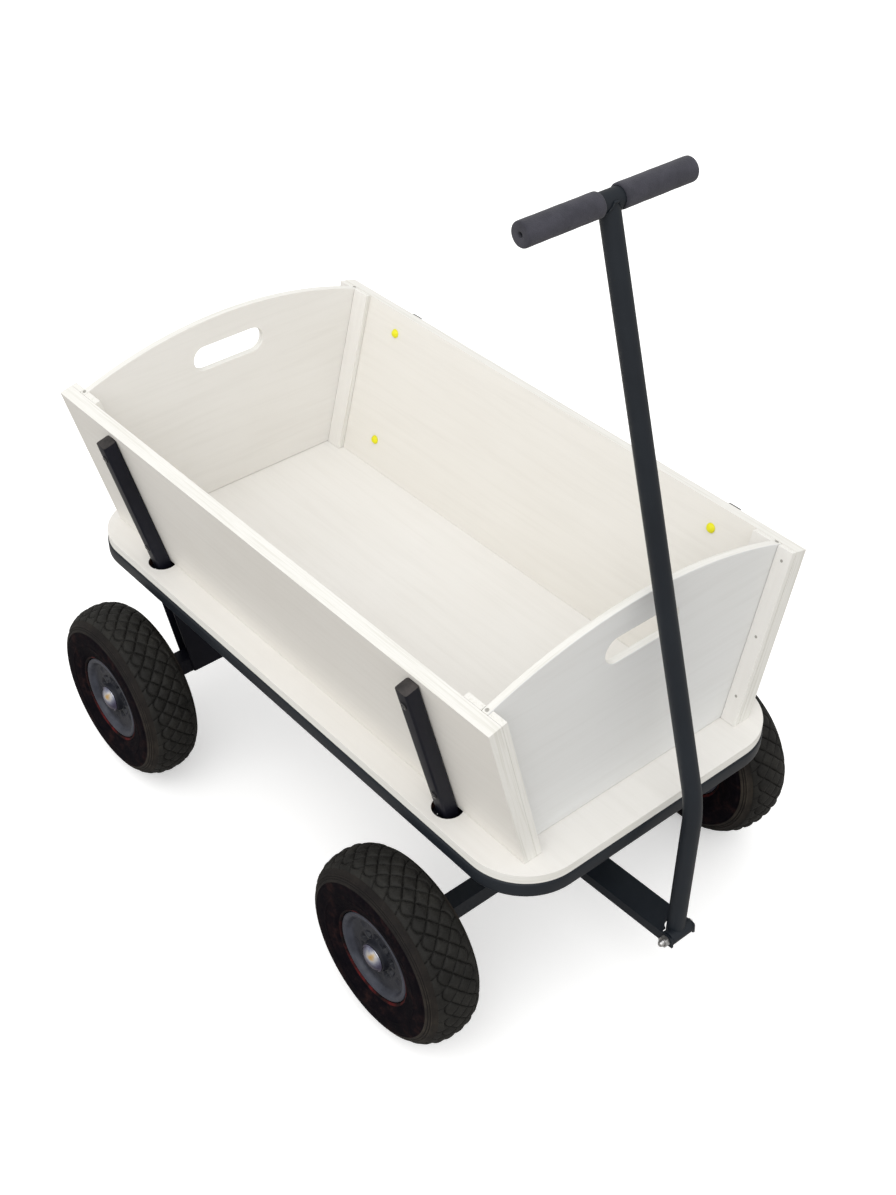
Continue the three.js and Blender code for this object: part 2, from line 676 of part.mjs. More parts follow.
function buildSide(parent, sideName, side) {
  const mirror = new THREE.Group();
  mirror.scale.y = side;
  parent.add(mirror);
  const plane = new THREE.Group();
  plane.position.set(0, SIDE_FOOT_Y, DECK_TOP);
  plane.rotation.x = -SIDE_LEAN;
  mirror.add(plane);
  add(plane, `side_board_${sideName}`, sideBoard(), WHITE_WOOD);
  for (const [endName, end] of ENDS) {
    add(plane, `post_${endName}_${sideName}`, post(end), STEEL);
    add(plane, `batten_${endName}_inner_${sideName}`, batten(end, true), WHITE_WOOD);
    add(plane, `batten_${endName}_outer_${sideName}`, batten(end, false), WHITE_WOOD);
    for (const [level, height] of Object.entries(BOLT_HEIGHTS)) {
      const name = `board_bolt_${endName}_${level}_${sideName}`;
      add(plane, name, boardBolt(end, height), YELLOW_CAP);
    }
    add(plane, `socket_${endName}_${sideName}`, socket(end), STEEL);
  }
}

// A closed-bottomed square tube below the deck that holds a post.
function socket(end) {
  const half = SOCKET_SIZE / 2;
  const boreHalf = SOCKET_BORE / 2;
  const x = postX(end);
  const y = POST_MIDDLE_Y;
  const tube = box(x - half, x + half, y - half, y + half, SOCKET_BOTTOM, SOCKET_TOP);
  const bore = box(
    x - boreHalf, x + boreHalf, y - boreHalf, y + boreHalf, POST_BOTTOM - GAP,
    SOCKET_TOP + MARGIN);
  return cut(tube, bore);
}

// ---------------------------------------------------------------- end boards

// An arched board that slides in the grooves between the side boards' battens.
function endBoard(end) {
  const bottom = DECK_TOP + GAP;
  const edgeAt = (z) =>
    SIDE_FOOT_Y - SIDE_THICKNESS / COS_LEAN + (z - DECK_TOP) * TAN_LEAN - PANEL_GROOVE_PLAY;
  const half = edgeAt(PANEL_EDGE_TOP);
  const rise = PANEL_MIDDLE_TOP - PANEL_EDGE_TOP;
  const radius = (half * half + rise * rise) / (2 * rise);
  const swing = Math.asin(half / radius);
  const shape = new THREE.Shape();
  shape.moveTo(-edgeAt(bottom), bottom);
  shape.lineTo(edgeAt(bottom), bottom);
  shape.lineTo(half, PANEL_EDGE_TOP);
  shape.absarc(
    0, PANEL_MIDDLE_TOP - radius, radius, Math.PI / 2 - swing, Math.PI / 2 + swing, false);
  const slot = new THREE.Path();
  const slotRadius = SLOT_HEIGHT / 2;
  const slotReach = SLOT_LENGTH / 2 - slotRadius;
  slot.absarc(slotReach, SLOT_Z, slotRadius, -Math.PI / 2, Math.PI / 2, false);
  slot.absarc(-slotReach, SLOT_Z, slotRadius, Math.PI / 2, 1.5 * Math.PI, false);
  slot.closePath();
  shape.holes.push(slot);
  return end > 0
    ? extrudeAlongX(shape, PANEL_INNER_X, PANEL_OUTER_X)
    : extrudeAlongX(shape, -PANEL_OUTER_X, -PANEL_INNER_X);
}

// ---------------------------------------------------------------- the cart

const body = new THREE.Group();
buildChassis(body);
buildFrontAxle(body);
buildHandle(body);
buildWheels(body);
for (const [sideName, side] of SIDES) buildSide(body, sideName, side);
for (const [endName, end] of ENDS) {
  add(body, `end_board_${endName}`, endBoard(end), WHITE_WOOD);
}

const extent = new THREE.Box3().setFromObject(body);
body.position.x = -(extent.min.x + extent.max.x) / 2;

const cart = new THREE.Group();
cart.name = "garden_cart";
cart.add(body);

export default cart;
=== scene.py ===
"""The garden cart's looks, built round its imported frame. The scene is in metres, and the
measures below are in millimetres."""

import math

import bmesh
import bpy
import numpy as np
from mathutils import Matrix, Vector


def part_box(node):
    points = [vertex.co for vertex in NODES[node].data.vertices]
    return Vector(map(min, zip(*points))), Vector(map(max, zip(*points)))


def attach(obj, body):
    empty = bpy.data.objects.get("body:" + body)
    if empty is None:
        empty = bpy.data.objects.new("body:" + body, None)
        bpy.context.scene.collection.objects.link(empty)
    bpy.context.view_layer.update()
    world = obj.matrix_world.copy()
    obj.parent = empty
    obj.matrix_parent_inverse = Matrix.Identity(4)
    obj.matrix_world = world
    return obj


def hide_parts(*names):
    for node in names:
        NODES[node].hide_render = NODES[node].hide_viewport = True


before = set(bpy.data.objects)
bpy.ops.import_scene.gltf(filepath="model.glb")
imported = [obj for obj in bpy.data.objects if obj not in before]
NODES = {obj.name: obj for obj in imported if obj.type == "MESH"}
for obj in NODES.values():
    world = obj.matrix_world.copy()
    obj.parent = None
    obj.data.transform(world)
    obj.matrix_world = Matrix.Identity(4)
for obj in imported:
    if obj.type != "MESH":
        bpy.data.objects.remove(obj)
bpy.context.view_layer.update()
MM = 0.001

# -------------------------------- measures

LEAN = math.radians(14.4)  # of the side boards
DECK_TOP = 322
DECK_MIDDLE = 315.5
SIDE_FOOT_Y = 187.4
POST_MIDDLE = 10.3  # from the board's outer face
POST_HALF = 10
POST_CORNER = 3
POST_WALL = 1.6
POST_RIM = 0.3
POST_FOOT = -57
POST_HEAD = 231.5
POST_X = {"front": 308, "rear": -304.5}
BOLT_HEIGHT = {"low": 39, "high": 208}
SIDES = {"left": 1, "right": -1}
ENDS = {"front": 1, "rear": -1}
END_BODY = {"front": "chassis", "rear": "rear_panel"}
FRONT_AXLE_X = 301  # from the boards' middle, where the measures along X start
HUB_CAP_RADIUS = 19
POST_HOLE_REACH = 30  # a deck face this near a post hole's middle is the hole's wall


def middle(node):
    lo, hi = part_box(node)
    return (lo + hi) / 2


ORIGIN_X = middle("tyre_front_left").x - FRONT_AXLE_X * MM
CART = Matrix.Translation((ORIGIN_X, 0, 0)) @ Matrix.Scale(MM, 4)
POST_HOLES = [middle(f"socket_{end}_{side}") for end in ENDS for side in SIDES]
for hole in POST_HOLES:
    hole.z = DECK_MIDDLE * MM


def board_frame(side):
    """From (along, outwards, up the slope) on a side board, in mm, to the scene."""
    out = Vector((0, side * math.cos(LEAN), -math.sin(LEAN))) * MM
    up = Vector((0, side * math.sin(LEAN), math.cos(LEAN))) * MM
    m = Matrix.Identity(4)
    m.col[0] = (MM, 0, 0, 0)
    m.col[1] = (*out, 0)
    m.col[2] = (*up, 0)
    m.col[3] = (ORIGIN_X, side * SIDE_FOOT_Y * MM, DECK_TOP * MM, 1)
    return m


# -------------------------------- materials


class Paint:
    """A Principled material with a few short ways to add nodes."""

    def __init__(self, name, color, roughness, metallic=0.0, specular=0.5, sheen=0.0):
        self.material = bpy.data.materials.new(name)
        self.material.use_nodes = True
        self.tree = self.material.node_tree
        self.shader = next(n for n in self.tree.nodes if n.type == "BSDF_PRINCIPLED")
        self.set("Base Color", (*color, 1))
        self.set("Roughness", roughness)
        self.set("Metallic", metallic)
        self.set("Specular IOR Level", specular)
        self.set("Sheen Weight", sheen)
        self.coords = self.add("ShaderNodeTexCoord").outputs["Object"]

    def set(self, socket, value):
        self.feed(self.shader, socket, value)

    def add(self, kind, **inputs):
        node = self.tree.nodes.new(kind)
        for key, value in inputs.items():
            self.feed(node, key.replace("_", " "), value)
        return node

    def feed(self, node, key, value):
        """key is a socket's name or number, and value a constant or another node's output."""
        socket = node.inputs[key]
        if hasattr(value, "is_output"):
            self.tree.links.new(value, socket)
        else:
            socket.default_value = value

    def mapped(self, vector, rotation=(0, 0, 0), scale=(1, 1, 1)):
        node = self.add("ShaderNodeMapping", Vector=vector, Rotation=rotation, Scale=scale)
        return node.outputs[0]

    def worn_and_groove_shade(self):
        """How deep a point of the tyre lies in a groove, from 0 to 1, with more added in the
        shoulder's sunk rings: the rubber's materials darken by it as painted shade.
        """
        node = self.tree.nodes.new("ShaderNodeAttribute")
        node.attribute_name = "groove"
        return node.outputs["Fac"]

    def noise(self, vector, scale, detail=4.0, roughness=0.55, distortion=0.0):
        node = self.add(
            "ShaderNodeTexNoise", Vector=vector, Scale=scale, Detail=detail, Roughness=roughness,
            Distortion=distortion)
        return node.outputs[0]

    def cells(self, vector, scale):
        return self.add("ShaderNodeTexVoronoi", Vector=vector, Scale=scale).outputs["Distance"]

    def from_axis(self, size, shift=(0, 0, 0)):
        """Distance from the wheel's axis, or from a line beside it, as a share of a size."""
        flat = self.add("ShaderNodeMapping", Vector=self.coords, Location=shift, Scale=(1, 0, 1))
        length = self.tree.nodes.new("ShaderNodeVectorMath")
        length.operation = "LENGTH"
        self.feed(length, 0, flat.outputs[0])
        return self.math("MULTIPLY", length.outputs["Value"], 1 / size)

    def ramp(self, factor, *stops):
        """stops are (position, value or colour)."""
        node = self.add("ShaderNodeValToRGB", Fac=factor)
        spots = node.color_ramp.elements
        while len(spots) < len(stops):
            spots.new(0.5)
        for spot, (where, value) in zip(spots, stops):
            spot.position = where
            spot.color = (*value, 1) if hasattr(value, "__len__") else (value, value, value, 1)
        return node.outputs[0]

    def mix(self, factor, a, b, blend="MIX"):
        node = self.tree.nodes.new("ShaderNodeMix")
        node.data_type = "RGBA"
        node.blend_type = blend
        self.feed(node, 0, factor)
        for index, value in ((6, a), (7, b)):
            self.feed(node, index, value if hasattr(value, "is_output") else (*value, 1))
        return node.outputs[2]

    def shaded(self, tone, shade):
        return self.mix(1.0, tone, shade, "MULTIPLY")

    def math(self, operation, a, b=0.0):
        node = self.tree.nodes.new("ShaderNodeMath")
        node.operation = operation
        self.feed(node, 0, a)
        self.feed(node, 1, b)
        return node.outputs[0]

    def total(self, a, b, share=1.0):
        """a plus a share of b."""
        return self.math("ADD", a, self.math("MULTIPLY", b, share))

    def bump(self, height, strength, distance):
        node = self.add("ShaderNodeBump", Height=height, Strength=strength, Distance=distance)
        self.set("Normal", node.outputs[0])


def wood_face(name, turn, stretch, tint=(1, 1, 1)):
    """White paint over plywood, with the grain showing faintly through. turn and stretch lay
    the noise along the grain."""
    p = Paint(name, (0.8, 0.78, 0.73), 0.5, specular=0.3)
    board = p.mapped(p.coords, rotation=turn)
    grain = p.noise(p.mapped(board, scale=stretch), 1.0, 5, 0.6, 0.4)
    fine = p.noise(p.mapped(board, scale=[s * 5 for s in stretch]), 1.0, 3)
    cloud = p.noise(board, 5.0, 2)
    tones = (
        (0.3, (0.808, 0.793, 0.763)), (0.5, (0.83, 0.816, 0.787)), (0.75, (0.843, 0.83, 0.803)))
    tone = p.ramp(grain, *[(at, [a * b for a, b in zip(color, tint)]) for at, color in tones])
    shade = p.ramp(cloud, (0.25, (0.97, 0.965, 0.955)), (0.75, (1, 1, 1)))
    p.set("Base Color", p.shaded(tone, shade))
    p.set("Roughness", p.ramp(fine, (0.3, 0.46), (0.7, 0.62)))
    p.bump(p.total(grain, fine, 0.4), 0.12, 0.0005)
    return p.material


def wood_edge(name, turn, stretch):
    """The cut edge of the plywood: its layers as streaks under thin paint."""
    p = Paint(name, (0.8, 0.78, 0.72), 0.6, specular=0.25)
    board = p.mapped(p.coords, rotation=turn)
    layers = p.noise(p.mapped(board, scale=stretch), 1.0, 2, 0.5, 0.15)
    fibre = p.noise(p.mapped(board, scale=[s * 3.1 for s in stretch]), 1.0, 4, 0.65)
    tone = p.ramp(
        layers, (0.34, (0.755, 0.745, 0.695)), (0.43, (0.81, 0.80, 0.76)),
        (0.56, (0.84, 0.83, 0.795)), (0.68, (0.80, 0.79, 0.745)))
    dull = p.ramp(fibre, (0.26, (0.93, 0.93, 0.90)), (0.48, (1, 1, 1)))
    p.set("Base Color", p.shaded(tone, dull))
    p.set("Roughness", p.ramp(fibre, (0.3, 0.5), (0.7, 0.72)))
    p.bump(p.total(layers, fibre, 0.5), 0.3, 0.0007)
    return p.material


def wood_raw_shaded():
    """The unpainted wall of a drilled hole: raw brown wood, darkened nearly to black with painted
    shade.
    """
    p = Paint("hole_wall", (0.05, 0.02, 0.014), 0.8, specular=0.1)
    streak = p.noise(p.mapped(p.coords, scale=(60, 60, 420)), 1.0, 4, 0.6)
    p.set("Base Color", p.ramp(streak, (0.3, (0.018, 0.007, 0.006)), (0.7, (0.075, 0.032, 0.024))))
    p.bump(streak, 0.4, 0.0006)
    return p.material


def steel(name, dark, light, specular):
    """Anthracite powder coat: a fine orange peel, a little dust and uneven gloss."""
    p = Paint(name, light, 0.4, specular=specular)
    peel = p.noise(p.coords, 1100, 2)
    wide = p.noise(p.coords, 9, 4, 0.6)
    p.set("Base Color", p.ramp(wide, (0.3, dark), (0.7, light)))
    p.set("Roughness", p.ramp(wide, (0.3, 0.36), (0.7, 0.5)))
    p.bump(peel, 0.12, 0.0002)
    return p.material


def foam():
    p = Paint("foam", (0.06, 0.06, 0.066), 0.92, specular=0.15, sheen=0.14)
    pores = p.cells(p.coords, 950)
    wide = p.noise(p.coords, 60, 4)
    tone = p.ramp(wide, (0.3, (0.042, 0.042, 0.053)), (0.7, (0.064, 0.063, 0.079)))
    p.set("Base Color", p.shaded(tone, p.ramp(pores, (0.05, 0.55), (0.3, 1))))
    p.set("Roughness", p.ramp(wide, (0.3, 0.84), (0.7, 0.97)))
    p.bump(p.total(pores, wide, 0.6), 0.5, 0.0005)
    return p.material


def rubber():
    """Brownish black rubber, paler with dust on the tread's blocks, and darkened in its grooves as
    painted shade.
    """
    p = Paint("rubber", (0.03, 0.027, 0.023), 0.8, specular=0.22)
    grit = p.noise(p.coords, 520, 4, 0.75)
    wide = p.noise(p.coords, 28, 4, 0.6)
    block = p.ramp(
        wide, (0.3, (0.0090, 0.0086, 0.0078)), (0.52, (0.0160, 0.0154, 0.0138)),
        (0.75, (0.025, 0.024, 0.021)))
    block = p.shaded(block, p.ramp(grit, (0.32, 0.62), (0.68, 1.3)))
    # the groove tone is painted shade, mixed over the blocks' tone by groove depth
    groove = p.ramp(wide, (0.3, (0.004, 0.0038, 0.0037)), (0.7, (0.0075, 0.007, 0.0062)))
    p.set("Base Color", p.mix(p.worn_and_groove_shade(), block, groove))
    p.set("Roughness", p.ramp(grit, (0.3, 0.5), (0.7, 0.75)))
    p.bump(p.total(grit, wide, 0.8), 0.5, 0.0008)
    return p.material


def shoulder():
    """The tyre's shoulder, brown with dust, with painted shade in its fine sunk rings."""
    p = Paint("rubber_shoulder", (0.03, 0.026, 0.02), 0.7, specular=0.2)
    wide = p.noise(p.coords, 13, 5, 0.65)
    grit = p.noise(p.coords, 420, 3, 0.7)
    tone = p.ramp(
        wide, (0.32, (0.009, 0.0075, 0.0075)), (0.5, (0.021, 0.017, 0.0145)),
        (0.68, (0.052, 0.043, 0.033)))
    tone = p.shaded(tone, p.ramp(grit, (0.35, 0.75), (0.65, 1.15)))
    # painted shade: near black where the rings sink in
    p.set("Base Color", p.mix(p.worn_and_groove_shade(), tone, (0.006, 0.0055, 0.005)))
    p.set("Roughness", p.ramp(grit, (0.3, 0.6), (0.7, 0.8)))
    p.bump(p.math("ADD", grit, wide), 0.35, 0.0006)
    return p.material


def shaded_sidewall():
    """The tyre's wall: darkened near to black as painted shade, with a reddish bloom in patches."""
    p = Paint("rubber_wall_painted_shade", (0.006, 0.005, 0.006), 0.6, specular=0.03)
    wide = p.noise(p.coords, 48, 5, 0.7)
    fine = p.noise(p.coords, 260, 3, 0.7)
    # painted shade: tones far darker than the tread's rubber
    tone = p.ramp(
        wide, (0.36, (0.0032, 0.0028, 0.0050)), (0.53, (0.0064, 0.0046, 0.0066)),
        (0.68, (0.0210, 0.0105, 0.0108)))
    dust = p.ramp(fine, (0.35, (0.75, 0.75, 0.75)), (0.7, (1.25, 1.25, 1.2)))
    p.set("Base Color", p.shaded(tone, dust))
    p.set("Roughness", p.ramp(fine, (0.3, 0.6), (0.7, 0.85)))
    p.bump(p.total(fine, wide, 0.6), 0.4, 0.0008)
    return p.material


def red_ring():
    """The thin red ring next to the disc, rubbed away in places."""
    p = Paint("red_rubber", (0.06, 0.008, 0.008), 0.7, specular=0.12)
    wide = p.noise(p.coords, 24, 4, 0.75)
    p.set("Base Color", p.ramp(
        wide, (0.4, (0.005, 0.003, 0.0035)), (0.5, (0.034, 0.005, 0.0055)),
        (0.64, (0.11, 0.008, 0.009))))
    p.bump(p.noise(p.coords, 600), 0.3, 0.0003)
    return p.material


def plastic(name, dark, light, roughness, painted_shade_radius=None, specular=0.45):
    """A smooth hard surface with a fine texture and slightly uneven gloss. The radius given for the
    rim paints shade inside it, and paints light, paler, from it outwards."""
    p = Paint(name, light, roughness, specular=specular)
    wide = p.noise(p.coords, 45, 4, 0.6)
    fine = p.noise(p.coords, 500, 3)
    tone = p.ramp(wide, (0.3, dark), (0.7, light))
    if painted_shade_radius:
        # painted shade on the web inside the rim's radius, and painted light on the lip beyond it
        out = p.total(p.from_axis(painted_shade_radius), p.math("SUBTRACT", wide, 0.5), 0.25)
        shade = p.ramp(
            out, (0.55, (0.5, 0.5, 0.52)), (0.82, (0.66, 0.66, 0.68)), (0.97, (1.5, 1.5, 1.48)))
        tone = p.shaded(tone, shade)
    p.set("Base Color", tone)
    p.set("Roughness", p.ramp(fine, (0.3, roughness - 0.06), (0.7, roughness + 0.08)))
    p.bump(fine, 0.15, 0.0002)
    return p.material


def passivated_with_highlight():
    """Bright zinc with a film that runs from gold beside its middle over white to dark violet at
    the rim. The gold and white are a painted highlight, centred above the axis where the lamp's
    glint falls, and the dark violet rim is a painted reflection."""
    p = Paint("passivated_cap_painted_highlight", (0.8, 0.7, 0.5), 0.2, metallic=1.0)
    # the patch's middle sits 9.5 mm above the axis and 4 mm aside: a painted highlight
    radius = p.from_axis(HUB_CAP_RADIUS * MM, (0.004, 0, -0.0095))
    wash = p.noise(p.coords, 90, 3, 0.5)
    fine = p.noise(p.coords, 500, 3)
    spread = p.total(radius, p.math("SUBTRACT", wash, 0.5), 0.7)
    tone = p.ramp(
        spread, (0.05, (0.95, 0.55, 0.14)), (0.2, (0.95, 0.72, 0.42)), (0.32, (0.85, 0.84, 0.86)),
        (0.5, (0.42, 0.44, 0.55)), (0.72, (0.17, 0.17, 0.26)), (0.9, (0.10, 0.09, 0.15)))
    p.set("Base Color", tone)
    p.set("Roughness", p.ramp(fine, (0.3, 0.14), (0.7, 0.25)))
    p.bump(fine, 0.05, 0.0001)
    return p.material


def zinc():
    p = Paint("zinc", (0.6, 0.6, 0.6), 0.35, metallic=1.0)
    wash = p.noise(p.coords, 300, 3)
    p.set("Base Color", p.ramp(wash, (0.3, (0.46, 0.46, 0.47)), (0.7, (0.72, 0.71, 0.70))))
    p.set("Roughness", p.ramp(wash, (0.3, 0.28), (0.7, 0.45)))
    p.bump(wash, 0.1, 0.0001)
    return p.material


ALONG_X, ALONG_Y, UP_BATTEN = (6, 110, 110), (110, 6, 110), (120, 120, 7)  # along the grain
LAYERS_X, LAYERS_Y, LAYERS_Z = (420, 9, 9), (9, 420, 9), (9, 9, 420)  # across the ply's layers
BATTEN_LAYERS = (330, 330, 9)
FRONT_LIGHT_TINT, SIDE_LIGHT_TINT = (0.93, 0.955, 0.985), (1, 0.992, 0.975)  # painted light colour: a cool cast for the front end board, and a warm one for the sides
FLAT = (0, 0, 0)
LEANING = {1: (LEAN, 0, 0), -1: (-LEAN, 0, 0)}  # turns a side board's coordinates upright
STEEL = steel(
    "powder_coat", (0.0098, 0.0128, 0.0178), (0.0145, 0.019, 0.0255), specular=0.28)
# a darker copy of the powder coat, for the posts and, as painted shade, for the parts under the
# deck
POST_AND_SHADED_STEEL = steel(
    "post_and_shaded_coat", (0.0070, 0.0074, 0.0128), (0.0115, 0.0120, 0.0192), specular=0.15)
FOAM, RUBBER, SHOULDER, SHADED_WALL, RED = foam(), rubber(), shoulder(), shaded_sidewall(), red_ring()
DISC_PLASTIC = plastic(
    "disc_plastic", (0.019, 0.021, 0.030), (0.036, 0.039, 0.052), 0.42, painted_shade_radius=0.056,
    specular=0.3)
PLUG = plastic("plug_plastic", (0.017, 0.015, 0.015), (0.062, 0.054, 0.052), 0.55)
YELLOW = plastic("yellow_plastic", (0.74, 0.70, 0.004), (0.86, 0.82, 0.008), 0.35)
CAP, ZINC = passivated_with_highlight(), zinc()
BLACK_BOLT = plastic("black_bolt", (0.012, 0.012, 0.013), (0.03, 0.03, 0.032), 0.2, specular=0.9)
RAW_SHADED_HOLE = wood_raw_shaded()
SCREW = plastic("dull_screw", (0.30, 0.29, 0.26), (0.46, 0.45, 0.42), 0.45)
DECK_WOOD = [
    wood_face("deck_face", FLAT, ALONG_X),
    wood_edge("deck_edge", FLAT, LAYERS_Z)]
END_EDGE = wood_edge("end_board_edge", FLAT, LAYERS_X)
END_WOOD = {
    "front": [wood_face("front_board_face", FLAT, ALONG_Y, FRONT_LIGHT_TINT), END_EDGE],
    "rear": [wood_face("rear_board_face", FLAT, ALONG_Y), END_EDGE]}
SIDE_WOOD = {
    side: [
        wood_face(f"side_board_face_{name}", LEANING[side], ALONG_X, SIDE_LIGHT_TINT),
        wood_edge(f"side_board_edge_{name}", LEANING[side], LAYERS_Y)]
    for name, side in SIDES.items()}
BATTEN_WOOD = {
    side: [
        wood_face(f"batten_face_{name}", LEANING[side], UP_BATTEN),
        wood_edge(f"batten_edge_{name}", LEANING[side], BATTEN_LAYERS)]
    for name, side in SIDES.items()}

# -------------------------------- mesh tools


def finish_piece(name, bm, materials, body, replaced=(), sharp=32, place=None):
    """Makes a piece that rides on its body, with edges sharper than that angle kept crisp. place
    is for a mesh drawn about its own origin."""
    bmesh.ops.recalc_face_normals(bm, faces=bm.faces)
    limit = math.radians(sharp)
    for face in bm.faces:
        face.smooth = True
    for edge in bm.edges:
        edge.smooth = len(edge.link_faces) == 2 and edge.calc_face_angle() < limit
    mesh = bpy.data.meshes.new(name)
    bm.to_mesh(mesh)
    bm.free()
    for material in materials:
        mesh.materials.append(material)
    piece = bpy.data.objects.new(name, mesh)
    bpy.context.scene.collection.objects.link(piece)
    if place is not None:
        piece.matrix_world = place
    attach(piece, body)
    if replaced:
        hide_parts(*replaced)
    return piece


def as_bmesh(verts, faces, place):
    """A bmesh from points in mm and a placing matrix."""
    bm = bmesh.new()
    made = [bm.verts.new(place @ Vector(v)) for v in verts]
    for face in faces:
        bm.faces.new([made[i] for i in face])
    return bm


def joined(parts):
    """Several (verts, faces) as one."""
    verts, faces = [], []
    for v, f in parts:
        faces += [[i + len(verts) for i in face] for face in f]
        verts += list(v)
    return verts, faces


def lathe(profile, sides, closed=False):
    """(radius, along) points turned about Y. closed joins the last point to the first."""
    verts, rows = [], []
    for radius, along in profile:
        if radius == 0:
            rows.append([len(verts)] * sides)
            verts.append((0, along, 0))
            continue
        rows.append(list(range(len(verts), len(verts) + sides)))
        for i in range(sides):
            a = 2 * math.pi * i / sides
            verts.append((radius * math.cos(a), along, radius * math.sin(a)))
    faces = []
    for low, high in zip(rows, rows[1:] + (rows[:1] if closed else [])):
        for i in range(sides):
            j = (i + 1) % sides
            corners = [low[i], low[j], high[j], high[i]]
            face = [c for k, c in enumerate(corners) if c not in corners[:k]]
            if len(face) > 2:
                faces.append(face)
    return verts, faces


def loft(rows, closed=False):
    """Rings of points of one size joined in order, with flat ends unless closed."""
    size = len(rows[0])
    verts = [p for row in rows for p in row]
    faces = []
    count = len(rows) if closed else len(rows) - 1
    for r in range(count):
        a, b = r * size, (r + 1) % len(rows) * size
        for i in range(size):
            j = (i + 1) % size
            faces.append([a + i, a + j, b + j, b + i])
    if not closed:
        faces.append(list(range(size))[::-1])
        faces.append([(len(rows) - 1) * size + i for i in range(size)])
    return verts, faces


def rounded_square(half_a, half_b, radius, steps=5):
    """Points round a rectangle with round corners."""
    points = []
    for corner, (sa, sb) in enumerate(((1, 1), (-1, 1), (-1, -1), (1, -1))):
        for i in range(steps + 1):
            a = math.pi / 2 * (corner + i / steps)
            points.append((
                sa * (half_a - radius) + radius * math.cos(a),
                sb * (half_b - radius) + radius * math.sin(a)))
    return points


MERGE_WITHIN = 2e-6  # metres
FLAT_WITHIN = math.radians(0.6)
BEVELLED_FROM = math.radians(34)
BEVEL_STEPS = 3
SQUARE_ON = 0.9  # least cosine between a face's normal and the axis it is square to


def node_bmesh(node):
    """The CAD node's mesh with each flat face as one polygon."""
    bm = bmesh.new()
    bm.from_mesh(NODES[node].data)
    bmesh.ops.remove_doubles(bm, verts=bm.verts, dist=MERGE_WITHIN)
    bmesh.ops.dissolve_limit(
        bm, angle_limit=FLAT_WITHIN, verts=bm.verts, edges=bm.edges,
        use_dissolve_boundaries=False)
    return bm


def board_material(face, axis, count):
    """0 for a board's faces, square to its thickness axis, 1 for its cut edges, and 2 for the
    walls of the post holes where there is a third material."""
    if abs(face.normal.dot(axis)) > SQUARE_ON:
        return 0
    spot = face.calc_center_median()
    reach = POST_HOLE_REACH * MM
    return 2 if count > 2 and any((spot - hole).length < reach for hole in POST_HOLES) else 1


def refined(node, body, materials, width, thick=None):
    """The CAD node's own shape with its edges rounded. thick is a board's thickness axis."""
    bm = node_bmesh(node)
    if thick is not None:
        axis = Vector(thick).normalized()
        for face in bm.faces:
            face.material_index = board_material(face, axis, len(materials))
    edges = [
        e for e in bm.edges if len(e.link_faces) == 2 and e.calc_face_angle() > BEVELLED_FROM]
    bmesh.ops.bevel(
        bm, geom=edges, offset=width * MM, segments=BEVEL_STEPS, profile=0.5, affect="EDGES",
        clamp_overlap=True, material=-1)
    piece = finish_piece(f"{node}_finished", bm, materials, body, [node])
    weighted = piece.modifiers.new("even_normals", "WEIGHTED_NORMAL")
    weighted.keep_sharp = True
    return piece


# -------------------------------- camera

EYE = Vector((1.29801, -1.06604, 1.71528))
AIM = Vector((0.00372, 0.03471, 0.34724))
ROLL = math.radians(0.29)
LENS, SENSOR, FARTHEST = 49.556, 36, 200
ahead = (AIM - EYE).normalized()
level = ahead.cross(Vector((0, 0, 1))).normalized()
upward = level.cross(ahead)
right = level * math.cos(ROLL) + upward * math.sin(ROLL)
top = upward * math.cos(ROLL) - level * math.sin(ROLL)
lens = bpy.data.cameras.new("view")
lens.lens = LENS
lens.sensor_width = SENSOR
lens.clip_end = FARTHEST
camera = bpy.data.objects.new("view", lens)
bpy.context.scene.collection.objects.link(camera)
pose = Matrix((right, top, -ahead)).transposed().to_4x4()
pose.translation = EYE
camera.matrix_world = pose
bpy.context.scene.camera = camera

# -------------------------------- boards

refined("deck_board", "chassis", [*DECK_WOOD, RAW_SHADED_HOLE], 1.2, thick=(0, 0, 1))
for end, body in END_BODY.items():
    refined(f"end_board_{end}", body, END_WOOD[end], 1.3, thick=(1, 0, 0))
for name, side in SIDES.items():
    outwards = board_frame(side).col[1][:3]
    body = f"{name}_side"
    refined(f"side_board_{name}", body, SIDE_WOOD[side], 0.9, thick=outwards)
    for end in ENDS:
        for row in ("inner", "outer"):
            refined(
                f"batten_{end}_{row}_{name}", body, BATTEN_WOOD[side], 0.7,
                thick=outwards)

# -------------------------------- deck frame

RIM_X = (-460.5, 466.5)
RIM_HALF_Y = 228
RIM_CORNER = 81.5
RIM_Z = (287, 308.7)
RIM_WIDTH = 20
RIM_EDGE = 4.2  # radius of the tube's own edges
RIM_CORNER_STEPS = 16


def frame_tube():
    """One square tube bent round under the deck's edge."""
    section = rounded_square(RIM_WIDTH / 2, (RIM_Z[1] - RIM_Z[0]) / 2, RIM_EDGE)
    mid_z = (RIM_Z[0] + RIM_Z[1]) / 2
    x0, x1 = RIM_X[0] + RIM_CORNER, RIM_X[1] - RIM_CORNER
    y1 = RIM_HALF_Y - RIM_CORNER
    reach = RIM_CORNER - RIM_WIDTH / 2
    rows = []
    for corner, (cx, cy) in enumerate([(x1, y1), (x0, y1), (x0, -y1), (x1, -y1)]):
        for i in range(RIM_CORNER_STEPS + 1):
            a = math.pi / 2 * (corner + i / RIM_CORNER_STEPS)
            rows.append([
                (cx + (reach + o) * math.cos(a), cy + (reach + o) * math.sin(a), mid_z + z)
                for o, z in section])
    return loft(rows, closed=True)


finish_piece(
    "frame_tube", as_bmesh(*frame_tube(), CART), [STEEL], "chassis",
    ["rail_left", "rail_right", "bow_front", "bow_rear"])

